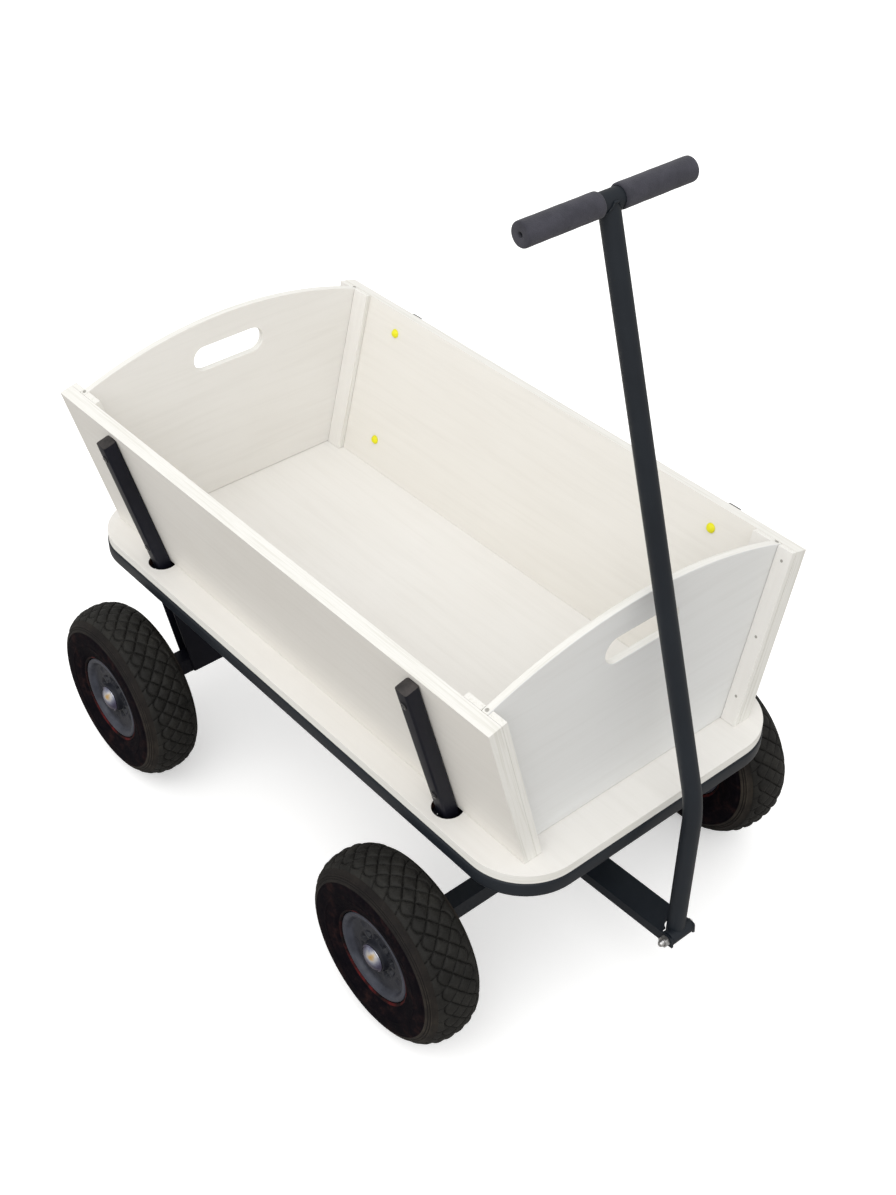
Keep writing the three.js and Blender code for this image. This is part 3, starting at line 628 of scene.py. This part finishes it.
# the parts under the deck take the darker coat: painted shade
for node, width in (
    ("cross_tube_front", 2.0), ("cross_tube_rear", 2.0), ("rear_axle_beam", 2.0),
    ("rear_hanger_front_plate", 0.6), ("rear_hanger_rear_plate", 0.6), ("turntable_plate", 0.8),
    *[(f"socket_{end}_{name}", 0.7) for end in ENDS for name in SIDES]):
    refined(node, "chassis", [POST_AND_SHADED_STEEL], width)

PLATE_Z = (306.6, 308.6)
PLATE_OUTER = [(-24, 172), (24, 172), (24, 212), (-24, 212)]
PLATE_INNER = [(-13.1, 181), (13.1, 181), (10.3, 205), (-10.3, 205)]
PLATE_EDGE = 0.4


def socket_plate(x, side):
    """A thin plate under the deck, closely round a post above its socket."""
    low, high = PLATE_Z
    rings = [(PLATE_OUTER, high), (PLATE_OUTER, low), (PLATE_INNER, low), (PLATE_INNER, high)]
    rows = [[(x + a, side * b, z) for a, b in outline] for outline, z in rings]
    bm = as_bmesh(*loft(rows, closed=True), CART)
    bmesh.ops.recalc_face_normals(bm, faces=bm.faces)
    bmesh.ops.bevel(
        bm, geom=list(bm.edges), offset=PLATE_EDGE * MM, segments=2, profile=0.5, affect="EDGES",
        clamp_overlap=True)
    return bm


# painted shade: the socket plates under the deck take the darker coat too
for end in ENDS:
    for name, side in SIDES.items():
        finish_piece(
            f"socket_plate_{end}_{name}", socket_plate(POST_X[end], side), [POST_AND_SHADED_STEEL],
            "chassis")
for node, width in (
    ("front_axle_beam", 2.0), ("steering_bracket", 0.8), ("turntable_disc", 0.8),
    ("tongue", 0.9)):
    refined(node, "front_axle", [STEEL], width)
refined("kingpin", "chassis", [ZINC], 0.7)

# -------------------------------- posts and their bolts


def post_tube(x):
    """A square tube, open at both ends, with softened rims."""
    outer, inner, rim = [
        rounded_square(POST_HALF - inset, POST_HALF - inset, POST_CORNER - inset)
        for inset in (0, POST_WALL, POST_RIM)]
    levels = [
        (inner, POST_HEAD - 1.2), (inner, POST_FOOT + 0.4), (rim, POST_FOOT),
        (outer, POST_FOOT + 0.4), (outer, POST_HEAD - 1.6), (rim, POST_HEAD - 1.2)]
    rows = [[(x + a, POST_MIDDLE + b, z) for a, b in section] for section, z in levels]
    return loft(rows, closed=True)


def post_plug(x):
    """The flat plastic stopper in a post's top: a thin lid with a soft edge over a block inside
    the tube."""
    levels = [
        (POST_HALF - POST_WALL - 0.3, -9), (POST_HALF - POST_WALL - 0.3, -1.25),
        (POST_HALF - 0.15, -1.15), (POST_HALF, -0.8), (POST_HALF - 0.15, -0.4),
        (POST_HALF - 0.7, -0.1), (POST_HALF - 1.6, 0), (POST_HALF - 5, 0)]
    rows = []
    for half, z in levels:
        corner = max(POST_CORNER - (POST_HALF - half), 0.8)
        ring = rounded_square(half, half, corner)
        rows.append([(x + a, POST_MIDDLE + b, POST_HEAD + z) for a, b in ring])
    return loft(rows)


def moved(shape, x, z):
    verts, faces = shape
    return [(v[0] + x, v[1], v[2] + z) for v in verts], faces


HEAD_SEAT, CAP_SEAT = 20.6, -18.3  # outwards from the board's outer face
BOLT_SHAPE = lathe([
    (0, CAP_SEAT - 1), (4, CAP_SEAT - 1), (4, HEAD_SEAT), (5, HEAD_SEAT), (5, HEAD_SEAT + 0.7),
    (4.6, HEAD_SEAT + 1.15), (3.6, HEAD_SEAT + 1.45), (2.4, HEAD_SEAT + 1.5),
    (2.2, HEAD_SEAT + 1.3), (2.0, HEAD_SEAT + 0.5), (0, HEAD_SEAT + 0.5)], 32)
CAP_SHAPE = lathe([
    (4.3, CAP_SEAT), (6.5, CAP_SEAT), (6.5, CAP_SEAT - 0.8), (6.2, CAP_SEAT - 1.15),
    (5.7, CAP_SEAT - 1.4), (5.35, CAP_SEAT - 2.2), (4.6, CAP_SEAT - 3.4), (3.4, CAP_SEAT - 4.35),
    (1.8, CAP_SEAT - 4.88), (0, CAP_SEAT - 5.0), (0, CAP_SEAT - 1.3), (4.3, CAP_SEAT - 1.3)], 36,
    closed=True)

for name, side in SIDES.items():
    body = f"{name}_side"
    board = board_frame(side)
    for end in ENDS:
        x = POST_X[end]
        finish_piece(
            f"post_tube_{end}_{name}", as_bmesh(*post_tube(x), board), [POST_AND_SHADED_STEEL], body,
            [f"post_{end}_{name}"])
        finish_piece(
            f"post_plug_{end}_{name}", as_bmesh(*post_plug(x), board), [PLUG], body)
        for level_name, height in BOLT_HEIGHT.items():
            finish_piece(
                f"bolt_{end}_{level_name}_{name}", as_bmesh(*moved(BOLT_SHAPE, x, height), board),
                [BLACK_BOLT], body, [f"board_bolt_{end}_{level_name}_{name}"])
            finish_piece(
                f"bolt_cap_{end}_{level_name}_{name}",
                as_bmesh(*moved(CAP_SHAPE, x, height), board), [YELLOW], body,
                sharp=50)

# -------------------------------- small screws


def screw(radius, height):
    """A low round head with a dip in its middle, on the plane y = 0 and facing +Y."""
    return lathe([
        (0, -2), (radius * 0.5, -2), (radius * 0.5, 0), (radius, 0), (radius, height * 0.4),
        (radius * 0.8, height * 0.85), (radius * 0.45, height), (radius * 0.3, height * 0.5),
        (0, height * 0.3)], 20)


def facing(direction):
    """Turns a shape's +Y towards the direction."""
    return Vector((0, 1, 0)).rotation_difference(Vector(direction)).to_matrix().to_4x4()


ARCH_RADIUS = 649.7  # of the end boards' tops
ARCH_TOP = 601
END_BOARD_X = 404
ARCH_SCREW_Y = 225.5
BATTEN_SCREW_X = 420.5
BATTEN_SCREW_DEPTH = 26.3  # inwards from the board's outer face, on the batten's own
BATTEN_SCREW_HEIGHTS = (33, 119, 224)
ARCH_SCREW = screw(2.4, 0.6)
BATTEN_SCREW = screw(1.9, 0.4)
for end, body in END_BODY.items():
    for name, side in SIDES.items():
        y = side * ARCH_SCREW_Y
        tilt = math.asin(y / ARCH_RADIUS)
        z = ARCH_TOP - ARCH_RADIUS + ARCH_RADIUS * math.cos(tilt)
        turn = facing((0, math.sin(tilt), math.cos(tilt)))
        place = CART @ Matrix.Translation((ENDS[end] * END_BOARD_X, y, z)) @ turn
        finish_piece(
            f"end_board_screw_{end}_{name}", as_bmesh(*ARCH_SCREW, place), [SCREW], body)
for name, side in SIDES.items():
    board = board_frame(side)
    for end, sign in ENDS.items():
        for number, height in enumerate(BATTEN_SCREW_HEIGHTS):
            spot = board @ Vector((sign * BATTEN_SCREW_X, -BATTEN_SCREW_DEPTH, height))
            turn = facing(-Vector(board.col[1][:3]).normalized())
            place = Matrix.Translation(spot) @ turn @ Matrix.Scale(MM, 4)
            finish_piece(
                f"batten_screw_{end}_{number}_{name}", as_bmesh(*BATTEN_SCREW, place), [SCREW],
                f"{name}_side")

# -------------------------------- handle

PIVOT = (513, 136)
BEND = Vector((511.3, 0, 352.6))
FOOT = Vector((508.5, 0, 131))
HEAD = Vector((309.7, 0, 1023.4))
BEND_REACH = 30  # from the bend's corner to where its curve starts and ends
BEND_STEPS = 16
SHAFT_RADIUS = 11.5
BAR_RADIUS = 11
BAR_HALF = 109.7
GRIP_RADIUS = 13.6
GRIP_INNER, GRIP_END = 14, 114
GRIP_STEPS = 40
VENT_RADIUS = 3
BUSHING_HALF = 17.2
BUSHING_RADIUS = 10
BUSHING_BORE = 4.3
BEAD_RADIUS = 1.7


def tube_along(points, radius, sides=48):
    """A round tube through points in the plane y = 0."""
    rows = []
    for i, point in enumerate(points):
        before, after = points[max(i - 1, 0)], points[min(i + 1, len(points) - 1)]
        along = (after - before).normalized()
        across = Vector((0, 1, 0))
        third = along.cross(across)
        rows.append([
            tuple(point + radius * (math.cos(a) * across + math.sin(a) * third))
            for a in (2 * math.pi * k / sides for k in range(sides))])
    return loft(rows)


def shaft_line():
    low = BEND + (FOOT - BEND).normalized() * BEND_REACH
    high = BEND + (HEAD - BEND).normalized() * BEND_REACH
    curve = [
        (1 - t) ** 2 * low + 2 * t * (1 - t) * BEND + t * t * high
        for t in (k / BEND_STEPS for k in range(BEND_STEPS + 1))]
    return [FOOT, *curve, HEAD]


def united(*shapes):
    """Closed shapes in the cart's mm joined by a Boolean union, as one bmesh."""
    made = []
    for shape in shapes:
        bm = as_bmesh(*shape, CART)
        bmesh.ops.recalc_face_normals(bm, faces=bm.faces)
        mesh = bpy.data.meshes.new("union_part")
        bm.to_mesh(mesh)
        bm.free()
        piece = bpy.data.objects.new("union_part", mesh)
        bpy.context.scene.collection.objects.link(piece)
        made.append(piece)
    for tool in made[1:]:
        union = made[0].modifiers.new("union", "BOOLEAN")
        union.operation = "UNION"
        union.solver = "EXACT"
        union.object = tool
    evaluated = made[0].evaluated_get(bpy.context.evaluated_depsgraph_get())
    bm = bmesh.new()
    bm.from_mesh(evaluated.to_mesh())
    evaluated.to_mesh_clear()
    for piece in made:
        bpy.data.objects.remove(piece)
    return bm


def weld_bead():
    """A wavy bead round the shaft where it runs into the crossbar."""
    lean = (BEND - HEAD).normalized()
    third = lean.cross(Vector((0, 1, 0)))
    rows = []
    for i in range(96):
        a = 2 * math.pi * i / 96
        out = math.cos(a) * Vector((0, 1, 0)) + math.sin(a) * third
        aside = SHAFT_RADIUS * math.sin(a)
        sunk = math.sqrt(BAR_RADIUS**2 - aside**2) if abs(aside) < BAR_RADIUS else 0
        spot = HEAD + SHAFT_RADIUS * out + (sunk + 0.6) * lean
        size = BEAD_RADIUS + 0.25 * math.sin(17 * a)
        rows.append([
            tuple(spot + size * (math.cos(b) * out + math.sin(b) * lean))
            for b in (2 * math.pi * k / 12 for k in range(12))])
    return loft(rows, closed=True)


shaft = tube_along(shaft_line(), SHAFT_RADIUS)
crossbar = moved(
    lathe([(0, -BAR_HALF), (BAR_RADIUS, -BAR_HALF), (BAR_RADIUS, BAR_HALF), (0, BAR_HALF)], 48),
    HEAD.x, HEAD.z)
bushing = moved(
    lathe([
        (BUSHING_BORE, -BUSHING_HALF), (BUSHING_RADIUS - 0.7, -BUSHING_HALF),
        (BUSHING_RADIUS, -BUSHING_HALF + 0.7), (BUSHING_RADIUS, BUSHING_HALF - 0.7),
        (BUSHING_RADIUS - 0.7, BUSHING_HALF), (BUSHING_BORE, BUSHING_HALF)], 48, closed=True),
    *PIVOT)
finish_piece(
    "handle_tube", united(shaft, crossbar, bushing, weld_bead()), [STEEL], "handle",
    ["handle_frame"])


def grip(side):
    """A foam sleeve, softly uneven, with a vent hole in its closed end."""
    bore = BAR_RADIUS + 0.3
    length = GRIP_END - 5 - GRIP_INNER
    body = [
        (GRIP_RADIUS, GRIP_INNER + 2.6 + length * k / GRIP_STEPS) for k in range(GRIP_STEPS + 1)]
    profile = [
        (bore, GRIP_INNER), (GRIP_RADIUS - 1.5, GRIP_INNER), (GRIP_RADIUS - 0.7, GRIP_INNER + 0.5),
        (GRIP_RADIUS - 0.2, GRIP_INNER + 1.4), *body, (GRIP_RADIUS - 0.3, GRIP_END - 1.2),
        (GRIP_RADIUS - 0.9, GRIP_END - 0.4), (GRIP_RADIUS - 1.8, GRIP_END),
        (VENT_RADIUS + 1, GRIP_END), (VENT_RADIUS + 0.4, GRIP_END - 0.2),
        (VENT_RADIUS + 0.1, GRIP_END - 0.7), (VENT_RADIUS, GRIP_END - 4), (bore, GRIP_END - 4)]
    verts, faces = lathe(profile, 64, closed=True)
    phase = np.random.default_rng(7).uniform(0, 6.28, 3)  # of the waves that wear the foam
    done = []
    for x, y, z in verts:
        radius, angle = math.hypot(x, z), math.atan2(z, x)
        if radius > GRIP_RADIUS - 0.1:
            worn_and_groove_shade = 0.12 + 0.06 * math.sin(y / 7 + phase[0] + 2 * angle) + 0.05 * math.sin(
                y / 3.1 + phase[1] - angle) + 0.02 * math.sin(5 * angle + phase[2])
            x, z = (radius - worn_and_groove_shade) * math.cos(angle), (radius - worn_and_groove_shade) * math.sin(angle)
        done.append((HEAD.x + x, side * y, HEAD.z + z))
    return done, faces


for name, side in SIDES.items():
    finish_piece(
        f"foam_sleeve_{name}", as_bmesh(*grip(side), CART), [FOAM], "handle", [f"grip_{name}"],
        sharp=60)

# -------------------------------- pivot bolt and nut


def thread(radius, start, stop, pitch=1.25, depth=0.45):
    """A thread's ridges, drawn as rings, as (radius, along) points with a chamfered end."""
    step = pitch if stop > start else -pitch
    points = []
    count = int(abs(stop - start) / pitch)
    for k in range(count):
        points += [(radius - depth, start + step * k), (radius, start + step * (k + 0.5))]
    return [*points, (radius - depth, start + step * count), (radius - 1.1, stop)]


def hexagon_nut(radius, inner, low, high, chamfer=0.9):
    """A hexagon ring with its outer corners taken down on both faces."""
    angles = [2 * math.pi * k / 36 for k in range(36)]
    slope = 0.55 * chamfer
    rows = []
    for along, cut in ((low, chamfer), (low + slope, 0), (high - slope, 0), (high, chamfer)):
        ring = []
        for a in angles:
            flat = radius * math.cos(math.pi / 6) / math.cos((a % (math.pi / 3)) - math.pi / 6)
            reach = min(flat, radius - cut)
            ring.append((reach * math.cos(a), along, reach * math.sin(a)))
        rows.append(ring)
    wide = inner + 0.7
    for along, reach in ((high, wide), (high - 0.7, inner), (low + 0.7, inner), (low, wide)):
        rows.append([(reach * math.cos(a), along, reach * math.sin(a)) for a in angles])
    return loft(rows, closed=True)


PIVOT_SEAT = 20.8
PIVOT_BOLT_RADIUS = 4
PIVOT_BOLT_END = -32.3
bolt = lathe([
    (0, PIVOT_SEAT + 2.1), (2.2, PIVOT_SEAT + 2.1), (2.6, PIVOT_SEAT + 2.5),
    (4.8, PIVOT_SEAT + 2.4), (5.7, PIVOT_SEAT + 1.9), (6, PIVOT_SEAT + 1.2), (6, PIVOT_SEAT),
    (PIVOT_BOLT_RADIUS, PIVOT_SEAT), (PIVOT_BOLT_RADIUS, -PIVOT_SEAT),
    *thread(PIVOT_BOLT_RADIUS, -PIVOT_SEAT - 0.5, PIVOT_BOLT_END), (0, PIVOT_BOLT_END)], 36)
nut = hexagon_nut(7.5, PIVOT_BOLT_RADIUS + 0.05, -27.3, -PIVOT_SEAT)
place = CART @ Matrix.Translation((PIVOT[0], 0, PIVOT[1]))
finish_piece(
    "pivot_bolt_and_nut", as_bmesh(*joined([bolt, nut]), place), [ZINC], "front_axle",
    ["pivot_bolt"])

# -------------------------------- wheels

WHEEL_RADIUS = 130
HALF_WIDTH = 42.5
BULGE_RADIUS = 92  # where the tyre is widest
ROUNDNESS = 2.3  # 2 would make the crown's section an ellipse, and more makes it squarer
BLOCKS = 34  # diamonds in one turn of the tread
ROW = 0.265  # between rows of groove crossings, as a share of the half width
LAST_ROW = 1.5 * ROW
TREAD_EDGE = 0.72  # where the tread ends, as a share of the half width
TREAD_STEPS = 65
COLUMNS_PER_BLOCK = 24
PITCH_MM = 2 * math.pi * WHEEL_RADIUS / BLOCKS
RED_RADII = (62.6, 65.9)
WALL_RADIUS = 107.5  # where the wall, dark with painted shade, gives way to the dusty shoulder
GROOVE_DEPTH = 2.6
GROOVE_HALF = 0.8  # half a groove's width at its foot
GROOVE_SLOPE = 0.75  # how wide each of its walls is
PILLOW = 2.4  # how far a block's edges sit below its middle
PILLOW_REACH = 7.5


def clamped(x):
    return min(max(x, 0), 1)


def eased(x):
    return x * x * (3 - 2 * x)


def on_crown(t):
    """The tyre's (radius, along) at a share t of its half width."""
    rise = (1 - abs(t) ** ROUNDNESS) ** (1 / ROUNDNESS)
    return BULGE_RADIUS + (WHEEL_RADIUS - BULGE_RADIUS) * rise, HALF_WIDTH * t


def apart(q):
    """How far a number is from the nearest whole one."""
    return np.abs(q - np.round(q))


def groove_depth(block, t):
    """How deep the tread is cut and how far a block has rounded off, each from 0 to 1, at a place
    along the turn, counted in blocks, and across, as a share of the half width. Diagonal grooves
    cross in rows. Past the last row they close in arches, and one groove runs on from each arch
    to the shoulder."""
    rise = t / (2 * ROW)
    spacing = 1 / math.hypot(1 / PITCH_MM, 1 / (2 * ROW * HALF_WIDTH))
    lattice = np.minimum(apart(block - rise - 0.25), apart(block + rise + 0.25)) * spacing
    side = np.where(t > 0, 1.0, -1.0)
    shift = np.where(t > 0, 0.5, 0.0)
    phi = 2 * (block - shift - np.round(block - shift)) * side
    size = np.abs(phi)
    half = PITCH_MM / 2
    across = np.abs(t) * HALF_WIDTH
    arch = LAST_ROW + 0.2 * (1 - size**2.2)
    slope = 0.44 * size**1.2 * HALF_WIDTH / half
    to_arch = np.abs(np.abs(t) - arch) * HALF_WIDTH / np.sqrt(1 + slope**2)
    x0, y0 = -0.7 * half, 0.51 * HALF_WIDTH  # the groove from the arch starts here
    dx, dy = -0.25 * half - x0, (TREAD_EDGE + 0.02) * HALF_WIDTH - y0
    px, py = phi * half - x0, across - y0
    along = np.clip((px * dx + py * dy) / (dx**2 + dy**2), 0, 1)
    to_cut = np.hypot(px - along * dx, py - along * dy)
    distance = np.where(np.abs(t) <= LAST_ROW, lattice, np.minimum(to_arch, to_cut))
    rough = 0.3 * np.sin(2 * np.pi * across / 3.1) * np.cos(2 * np.pi * block * 7)
    cut = np.clip((GROOVE_HALF + rough - distance) / GROOVE_SLOPE, 0, 1)
    fade = np.clip((0.66 - np.abs(t)) / 0.1, 0.25, 1)
    return cut, np.clip(1 - distance / PILLOW_REACH, 0, 1) ** 2 * fade


def tyre_rows():
    """(radius, along, offset out of the surface, columns, tread share or None) from one bead over
    the crown to the other."""
    fine = BLOCKS * COLUMNS_PER_BLOCK
    wall = [
        (62.4, 26), (62.4, 32), (62.8, 34.2), (63.5, 35.3), (64.6, 35.9), (65.8, 36.1),
        (66.6, 35.8), (67.4, 36.2), (69.4, 37.9), (71.5, 38.7), (73.5, 39.0), (75.3, 39.2),
        (76.2, 39.8), (79, 40.7), (82.5, 41.4), (84.6, 41.7), (85.2, 41.8, 0.45),
        (86.4, 41.95, 0.45), (87.0, 42.0), (89, 42.2)]
    shoulder = [
        (0.998, 0), (0.99, 0), (0.982, 0), (0.978, -0.45), (0.968, -0.5), (0.963, 0),
        (0.957, 0.15), (0.94, 0.1), (0.932, -0.1), (0.927, -0.7), (0.919, -0.7), (0.914, 0),
        (0.905, 0.1), (0.899, 0), (0.894, -0.7), (0.885, -0.7), (0.88, 0), (0.87, 0.15),
        (0.862, 0), (0.856, -0.9), (0.84, -1.3), (0.82, -1.4), (0.80, -1.4), (0.78, -1.3),
        (0.762, -1.1)]
    rows = [(r, y, *(off or [0]), fine // 4, None) for r, y, *off in wall]
    rows += [(*on_crown(t), off, fine // 4, None) for t, off in shoulder]
    rows += [(*on_crown(0.752), -1.0, fine // 2, None), (*on_crown(0.742), -0.7, fine, 0.742)]
    reach = TREAD_EDGE + 0.012
    tread = [reach - reach * 2 * k / TREAD_STEPS for k in range(TREAD_STEPS + 1)]
    middle_rows = [(*on_crown(t), 0, fine, t) for t in tread]
    other = [(r, -y, off, n, None if t is None else -t) for r, y, off, n, t in reversed(rows)]
    return rows + middle_rows + other


def tyre_mesh():
    """The tyre about its own axis, with the "groove" attribute that the rubber's materials use for
    painted shade in the grooves and rings.
    """
    rows = tyre_rows()
    line = np.array([(r, y) for r, y, *_ in rows])
    run = np.gradient(line, axis=0)
    run /= np.linalg.norm(run, axis=1)[:, None]
    out = np.stack([-run[:, 1], run[:, 0]], 1)  # turned a quarter, away from the tyre's middle
    verts, starts, depths = [], [], []
    for (r, y, off, n, t), (nr, ny) in zip(rows, out):
        starts.append(len(verts))
        block = np.arange(n) / n * BLOCKS
        if t is None:
            cut, edge = np.zeros(n), np.zeros(n)
        else:
            cut, edge = groove_depth(block, np.full(n, t))
        push = off - GROOVE_DEPTH * cut - PILLOW * edge
        radius, along = r + nr * push, y + ny * push
        angle = 2 * np.pi * block / BLOCKS
        ring = np.stack([radius * np.cos(angle), along + 0 * angle, radius * np.sin(angle)], 1)
        verts += (ring * MM).tolist()
        if t is None:  # the shoulder's sunk rings get painted shade too, the narrow ones most
            cut += clamped((-off - 0.3) / 0.4) * (0.9 if 0.5 < -off < 0.8 else 0.3)
        depths += cut.tolist()
    faces, slots = [], []
    for k in range(len(rows)):
        nxt = (k + 1) % len(rows)
        a, b, na, nb = starts[k], starts[nxt], rows[k][3], rows[nxt][3]
        inner, outer = sorted((rows[k][0], rows[nxt][0]))
        plain = rows[k][4] is None
        red = plain and RED_RADII[0] < inner and outer < RED_RADII[1]
        wall = plain and not red and outer < WALL_RADIUS
        band = plain and not red and not wall
        if na == nb:
            new = [[a + i, a + (i + 1) % na, b + (i + 1) % nb, b + i] for i in range(na)]
        elif na < nb:  # one column meets two, in three triangles
            new = []
            for i in range(na):
                j, p, q, s = (i + 1) % na, 2 * i, 2 * i + 1, (2 * i + 2) % nb
                new += [[a + i, b + q, b + p], [a + i, a + j, b + q], [a + j, b + s, b + q]]
        else:  # two columns meet one
            new = []
            for i in range(nb):
                j, p, q, s = (i + 1) % nb, 2 * i, 2 * i + 1, (2 * i + 2) % na
                new += [[b + i, a + p, a + q], [b + i, a + q, b + j], [b + j, a + q, a + s]]
        faces += new
        slots += [1 if red else 2 if wall else 3 if band else 0] * len(new)
    mesh = bpy.data.meshes.new("tyre")
    mesh.from_pydata(verts, [], faces)
    mesh.polygons.foreach_set("material_index", slots)
    mesh.polygons.foreach_set("use_smooth", [True] * len(faces))
    groove_shade_attribute = mesh.attributes.new("groove", "FLOAT", "POINT")
    groove_shade_attribute.data.foreach_set("value", np.array(depths, np.float32))
    for material in (RUBBER, RED, SHADED_WALL, SHOULDER):
        mesh.materials.append(material)
    tidy = bmesh.new()
    tidy.from_mesh(mesh)
    bmesh.ops.recalc_face_normals(tidy, faces=tidy.faces)
    tidy.to_mesh(mesh)
    tidy.free()
    return mesh


POCKETS = 10
DIMPLES = 5
DIMPLE_RADIUS = 42  # of the circle they lie on
DISC_SIDES = 360


def disc_shape():
    """The moulded disc: a rolled lip, a dished web with pockets between short ribs round the hub,
    and a hollow back."""
    hub = [
        (10.3, 34.6), (10.8, 35), (18.6, 35), (19.6, 34.6), (20, 33.8), (20.5, 31.5),
        (21.0, 29.0), (21.3, 27.8)]
    web = [(21.6 + 0.95 * k, 27.2 + 0.6 * (k / 29) ** 2) for k in range(30)]
    lip = [
        (50.4, 28.3), (51.4, 29.2), (52.4, 30.5), (53.4, 32.0), (54.4, 33.3), (55.6, 34.3),
        (57.0, 34.85), (58.6, 35.0), (60, 34.9), (61.2, 34.4), (61.9, 33.5), (62, 32.4),
        (60.5, 30.5), (59, 29)]
    back = [
        (59, -29), (60.5, -30.5), (62, -32.4), (61.9, -33.8), (60.8, -34.8), (59.2, -35),
        (57.6, -34.4), (56.4, -32.5), (55.2, -20), (54, 8), (52.6, 13), (50, 15), (28, 15),
        (25.2, 13.4), (24, 10), (20.6, -33.6), (19.6, -34.7), (18.6, -35), (10.8, -35),
        (10.3, -34.6)]
    verts, faces = lathe(hub + web + lip + back, DISC_SIDES, closed=True)
    shaped = []
    for x, y, z in verts:
        radius, angle = math.hypot(x, z), math.atan2(z, x)
        if 21.5 < radius < 50 and y > 20:
            turn = angle / (2 * math.pi) * POCKETS
            to_rib = abs(turn - round(turn)) / POCKETS * 2 * math.pi * radius
            wall = clamped((to_rib - 2.2) / 3.2)
            ring = clamped((radius - 22.5) / 2.2) * clamped((34.5 - radius) / 6.0)
            y -= 4.2 * eased(wall) * eased(ring)
            spot = angle / (2 * math.pi) * DIMPLES + 0.25
            aside = abs(spot - round(spot)) / DIMPLES * 2 * math.pi * DIMPLE_RADIUS
            far = math.hypot(aside * 0.7, radius - DIMPLE_RADIUS)
            y -= 1.6 * eased(clamped((6.2 - far) / 4.5))
        shaped.append((x, y, z))
    return shaped, faces


HUB_CAP = lathe([
    (0, 35.3), (HUB_CAP_RADIUS, 35.3), (HUB_CAP_RADIUS, 36.0), (18.7, 36.45), (18.1, 36.7),
    (17.2, 36.9), (16.6, 37.4), (15.4, 38.6), (13.6, 39.75), (11.2, 40.75), (8.4, 41.5),
    (5.4, 42.0), (2.6, 42.24), (0, 42.3)], 72)

TYRE = tyre_mesh()
DISC = disc_shape()
IN_MM = Matrix.Scale(MM, 4)
for end in ENDS:
    for name, side in SIDES.items():
        body = f"wheel_{end}_{name}"
        hub = middle(f"tyre_{end}_{name}")
        place = Matrix.Translation(hub)
        if side < 0:
            place = place @ Matrix.Rotation(math.pi, 4, "Z")
        tyre = bpy.data.objects.new(f"tyre_treaded_{end}_{name}", TYRE.copy())
        bpy.context.scene.collection.objects.link(tyre)
        tyre.matrix_world = place
        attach(tyre, body)
        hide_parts(f"tyre_{end}_{name}")
        finish_piece(
            f"disc_moulded_{end}_{name}", as_bmesh(*DISC, IN_MM), [DISC_PLASTIC], body,
            [f"wheel_disc_{end}_{name}"], sharp=55, place=place)
        finish_piece(
            f"hub_cap_domed_{end}_{name}", as_bmesh(*HUB_CAP, IN_MM), [CAP], body,
            [f"hub_cap_{end}_{name}"], sharp=50, place=place)

# -------------------------------- floor and light

FLOOR_BOUNCE = 0.42
FLOOR_GLOW = 0.35
FLOOR_HALF = 40  # metres
AMBIENT, GLOSS, SEEN = 0.93, 0.6, 1.05  # the studio for light, for reflections and for the eye


def stage_floor():
    """Pale to the eye, and a little darker for the light it sends back up."""
    p = Paint("studio_floor", (0.93, 0.93, 0.93), 0.9, specular=0.1)
    seen = p.tree.nodes.new("ShaderNodeLightPath").outputs["Is Camera Ray"]
    pale = p.ramp(p.noise(p.coords, 3), (0.3, 0.93), (0.7, 0.95))
    p.set("Base Color", p.mix(seen, (FLOOR_BOUNCE, FLOOR_BOUNCE * 0.97, FLOOR_BOUNCE * 0.93), pale))
    p.set("Emission Color", (1, 1, 1, 1))
    p.set("Emission Strength", p.math("MULTIPLY", seen, FLOOR_GLOW))
    corners = [(x * FLOOR_HALF, y * FLOOR_HALF, 0) for x, y in ((-1, -1), (1, -1), (1, 1), (-1, 1))]
    mesh = bpy.data.meshes.new("floor")
    mesh.from_pydata(corners, [], [[0, 1, 2, 3]])
    mesh.materials.append(p.material)
    floor = bpy.data.objects.new("floor", mesh)
    bpy.context.scene.collection.objects.link(floor)


stage_floor()
scene = bpy.context.scene
scene.view_settings.view_transform = "Standard"

world = bpy.data.worlds.new("studio")
scene.world = world
world.use_nodes = True
tree = world.node_tree
background = next(n for n in tree.nodes if n.type == "BACKGROUND")
background.inputs["Color"].default_value = (1, 0.995, 0.985, 1)
rays = tree.nodes.new("ShaderNodeLightPath")
strength = AMBIENT
for ray, level in (("Is Glossy Ray", GLOSS), ("Is Camera Ray", SEEN)):
    blend = tree.nodes.new("ShaderNodeMix")
    if hasattr(strength, "is_output"):
        tree.links.new(strength, blend.inputs[2])
    else:
        blend.inputs[2].default_value = strength
    blend.inputs[3].default_value = level
    tree.links.new(rays.outputs[ray], blend.inputs[0])
    strength = blend.outputs[0]
tree.links.new(strength, background.inputs["Strength"])


def sun(name, strength, angle, direction):
    data = bpy.data.lights.new(name, "SUN")
    data.energy = strength
    data.angle = math.radians(angle)
    lamp = bpy.data.objects.new(name, data)
    bpy.context.scene.collection.objects.link(lamp)
    lamp.rotation_mode = "QUATERNION"
    lamp.rotation_quaternion = Vector((0, 0, -1)).rotation_difference(Vector(direction))


sun("soft_key", strength=1.1, angle=60, direction=(-0.4, 0.66, -0.9))
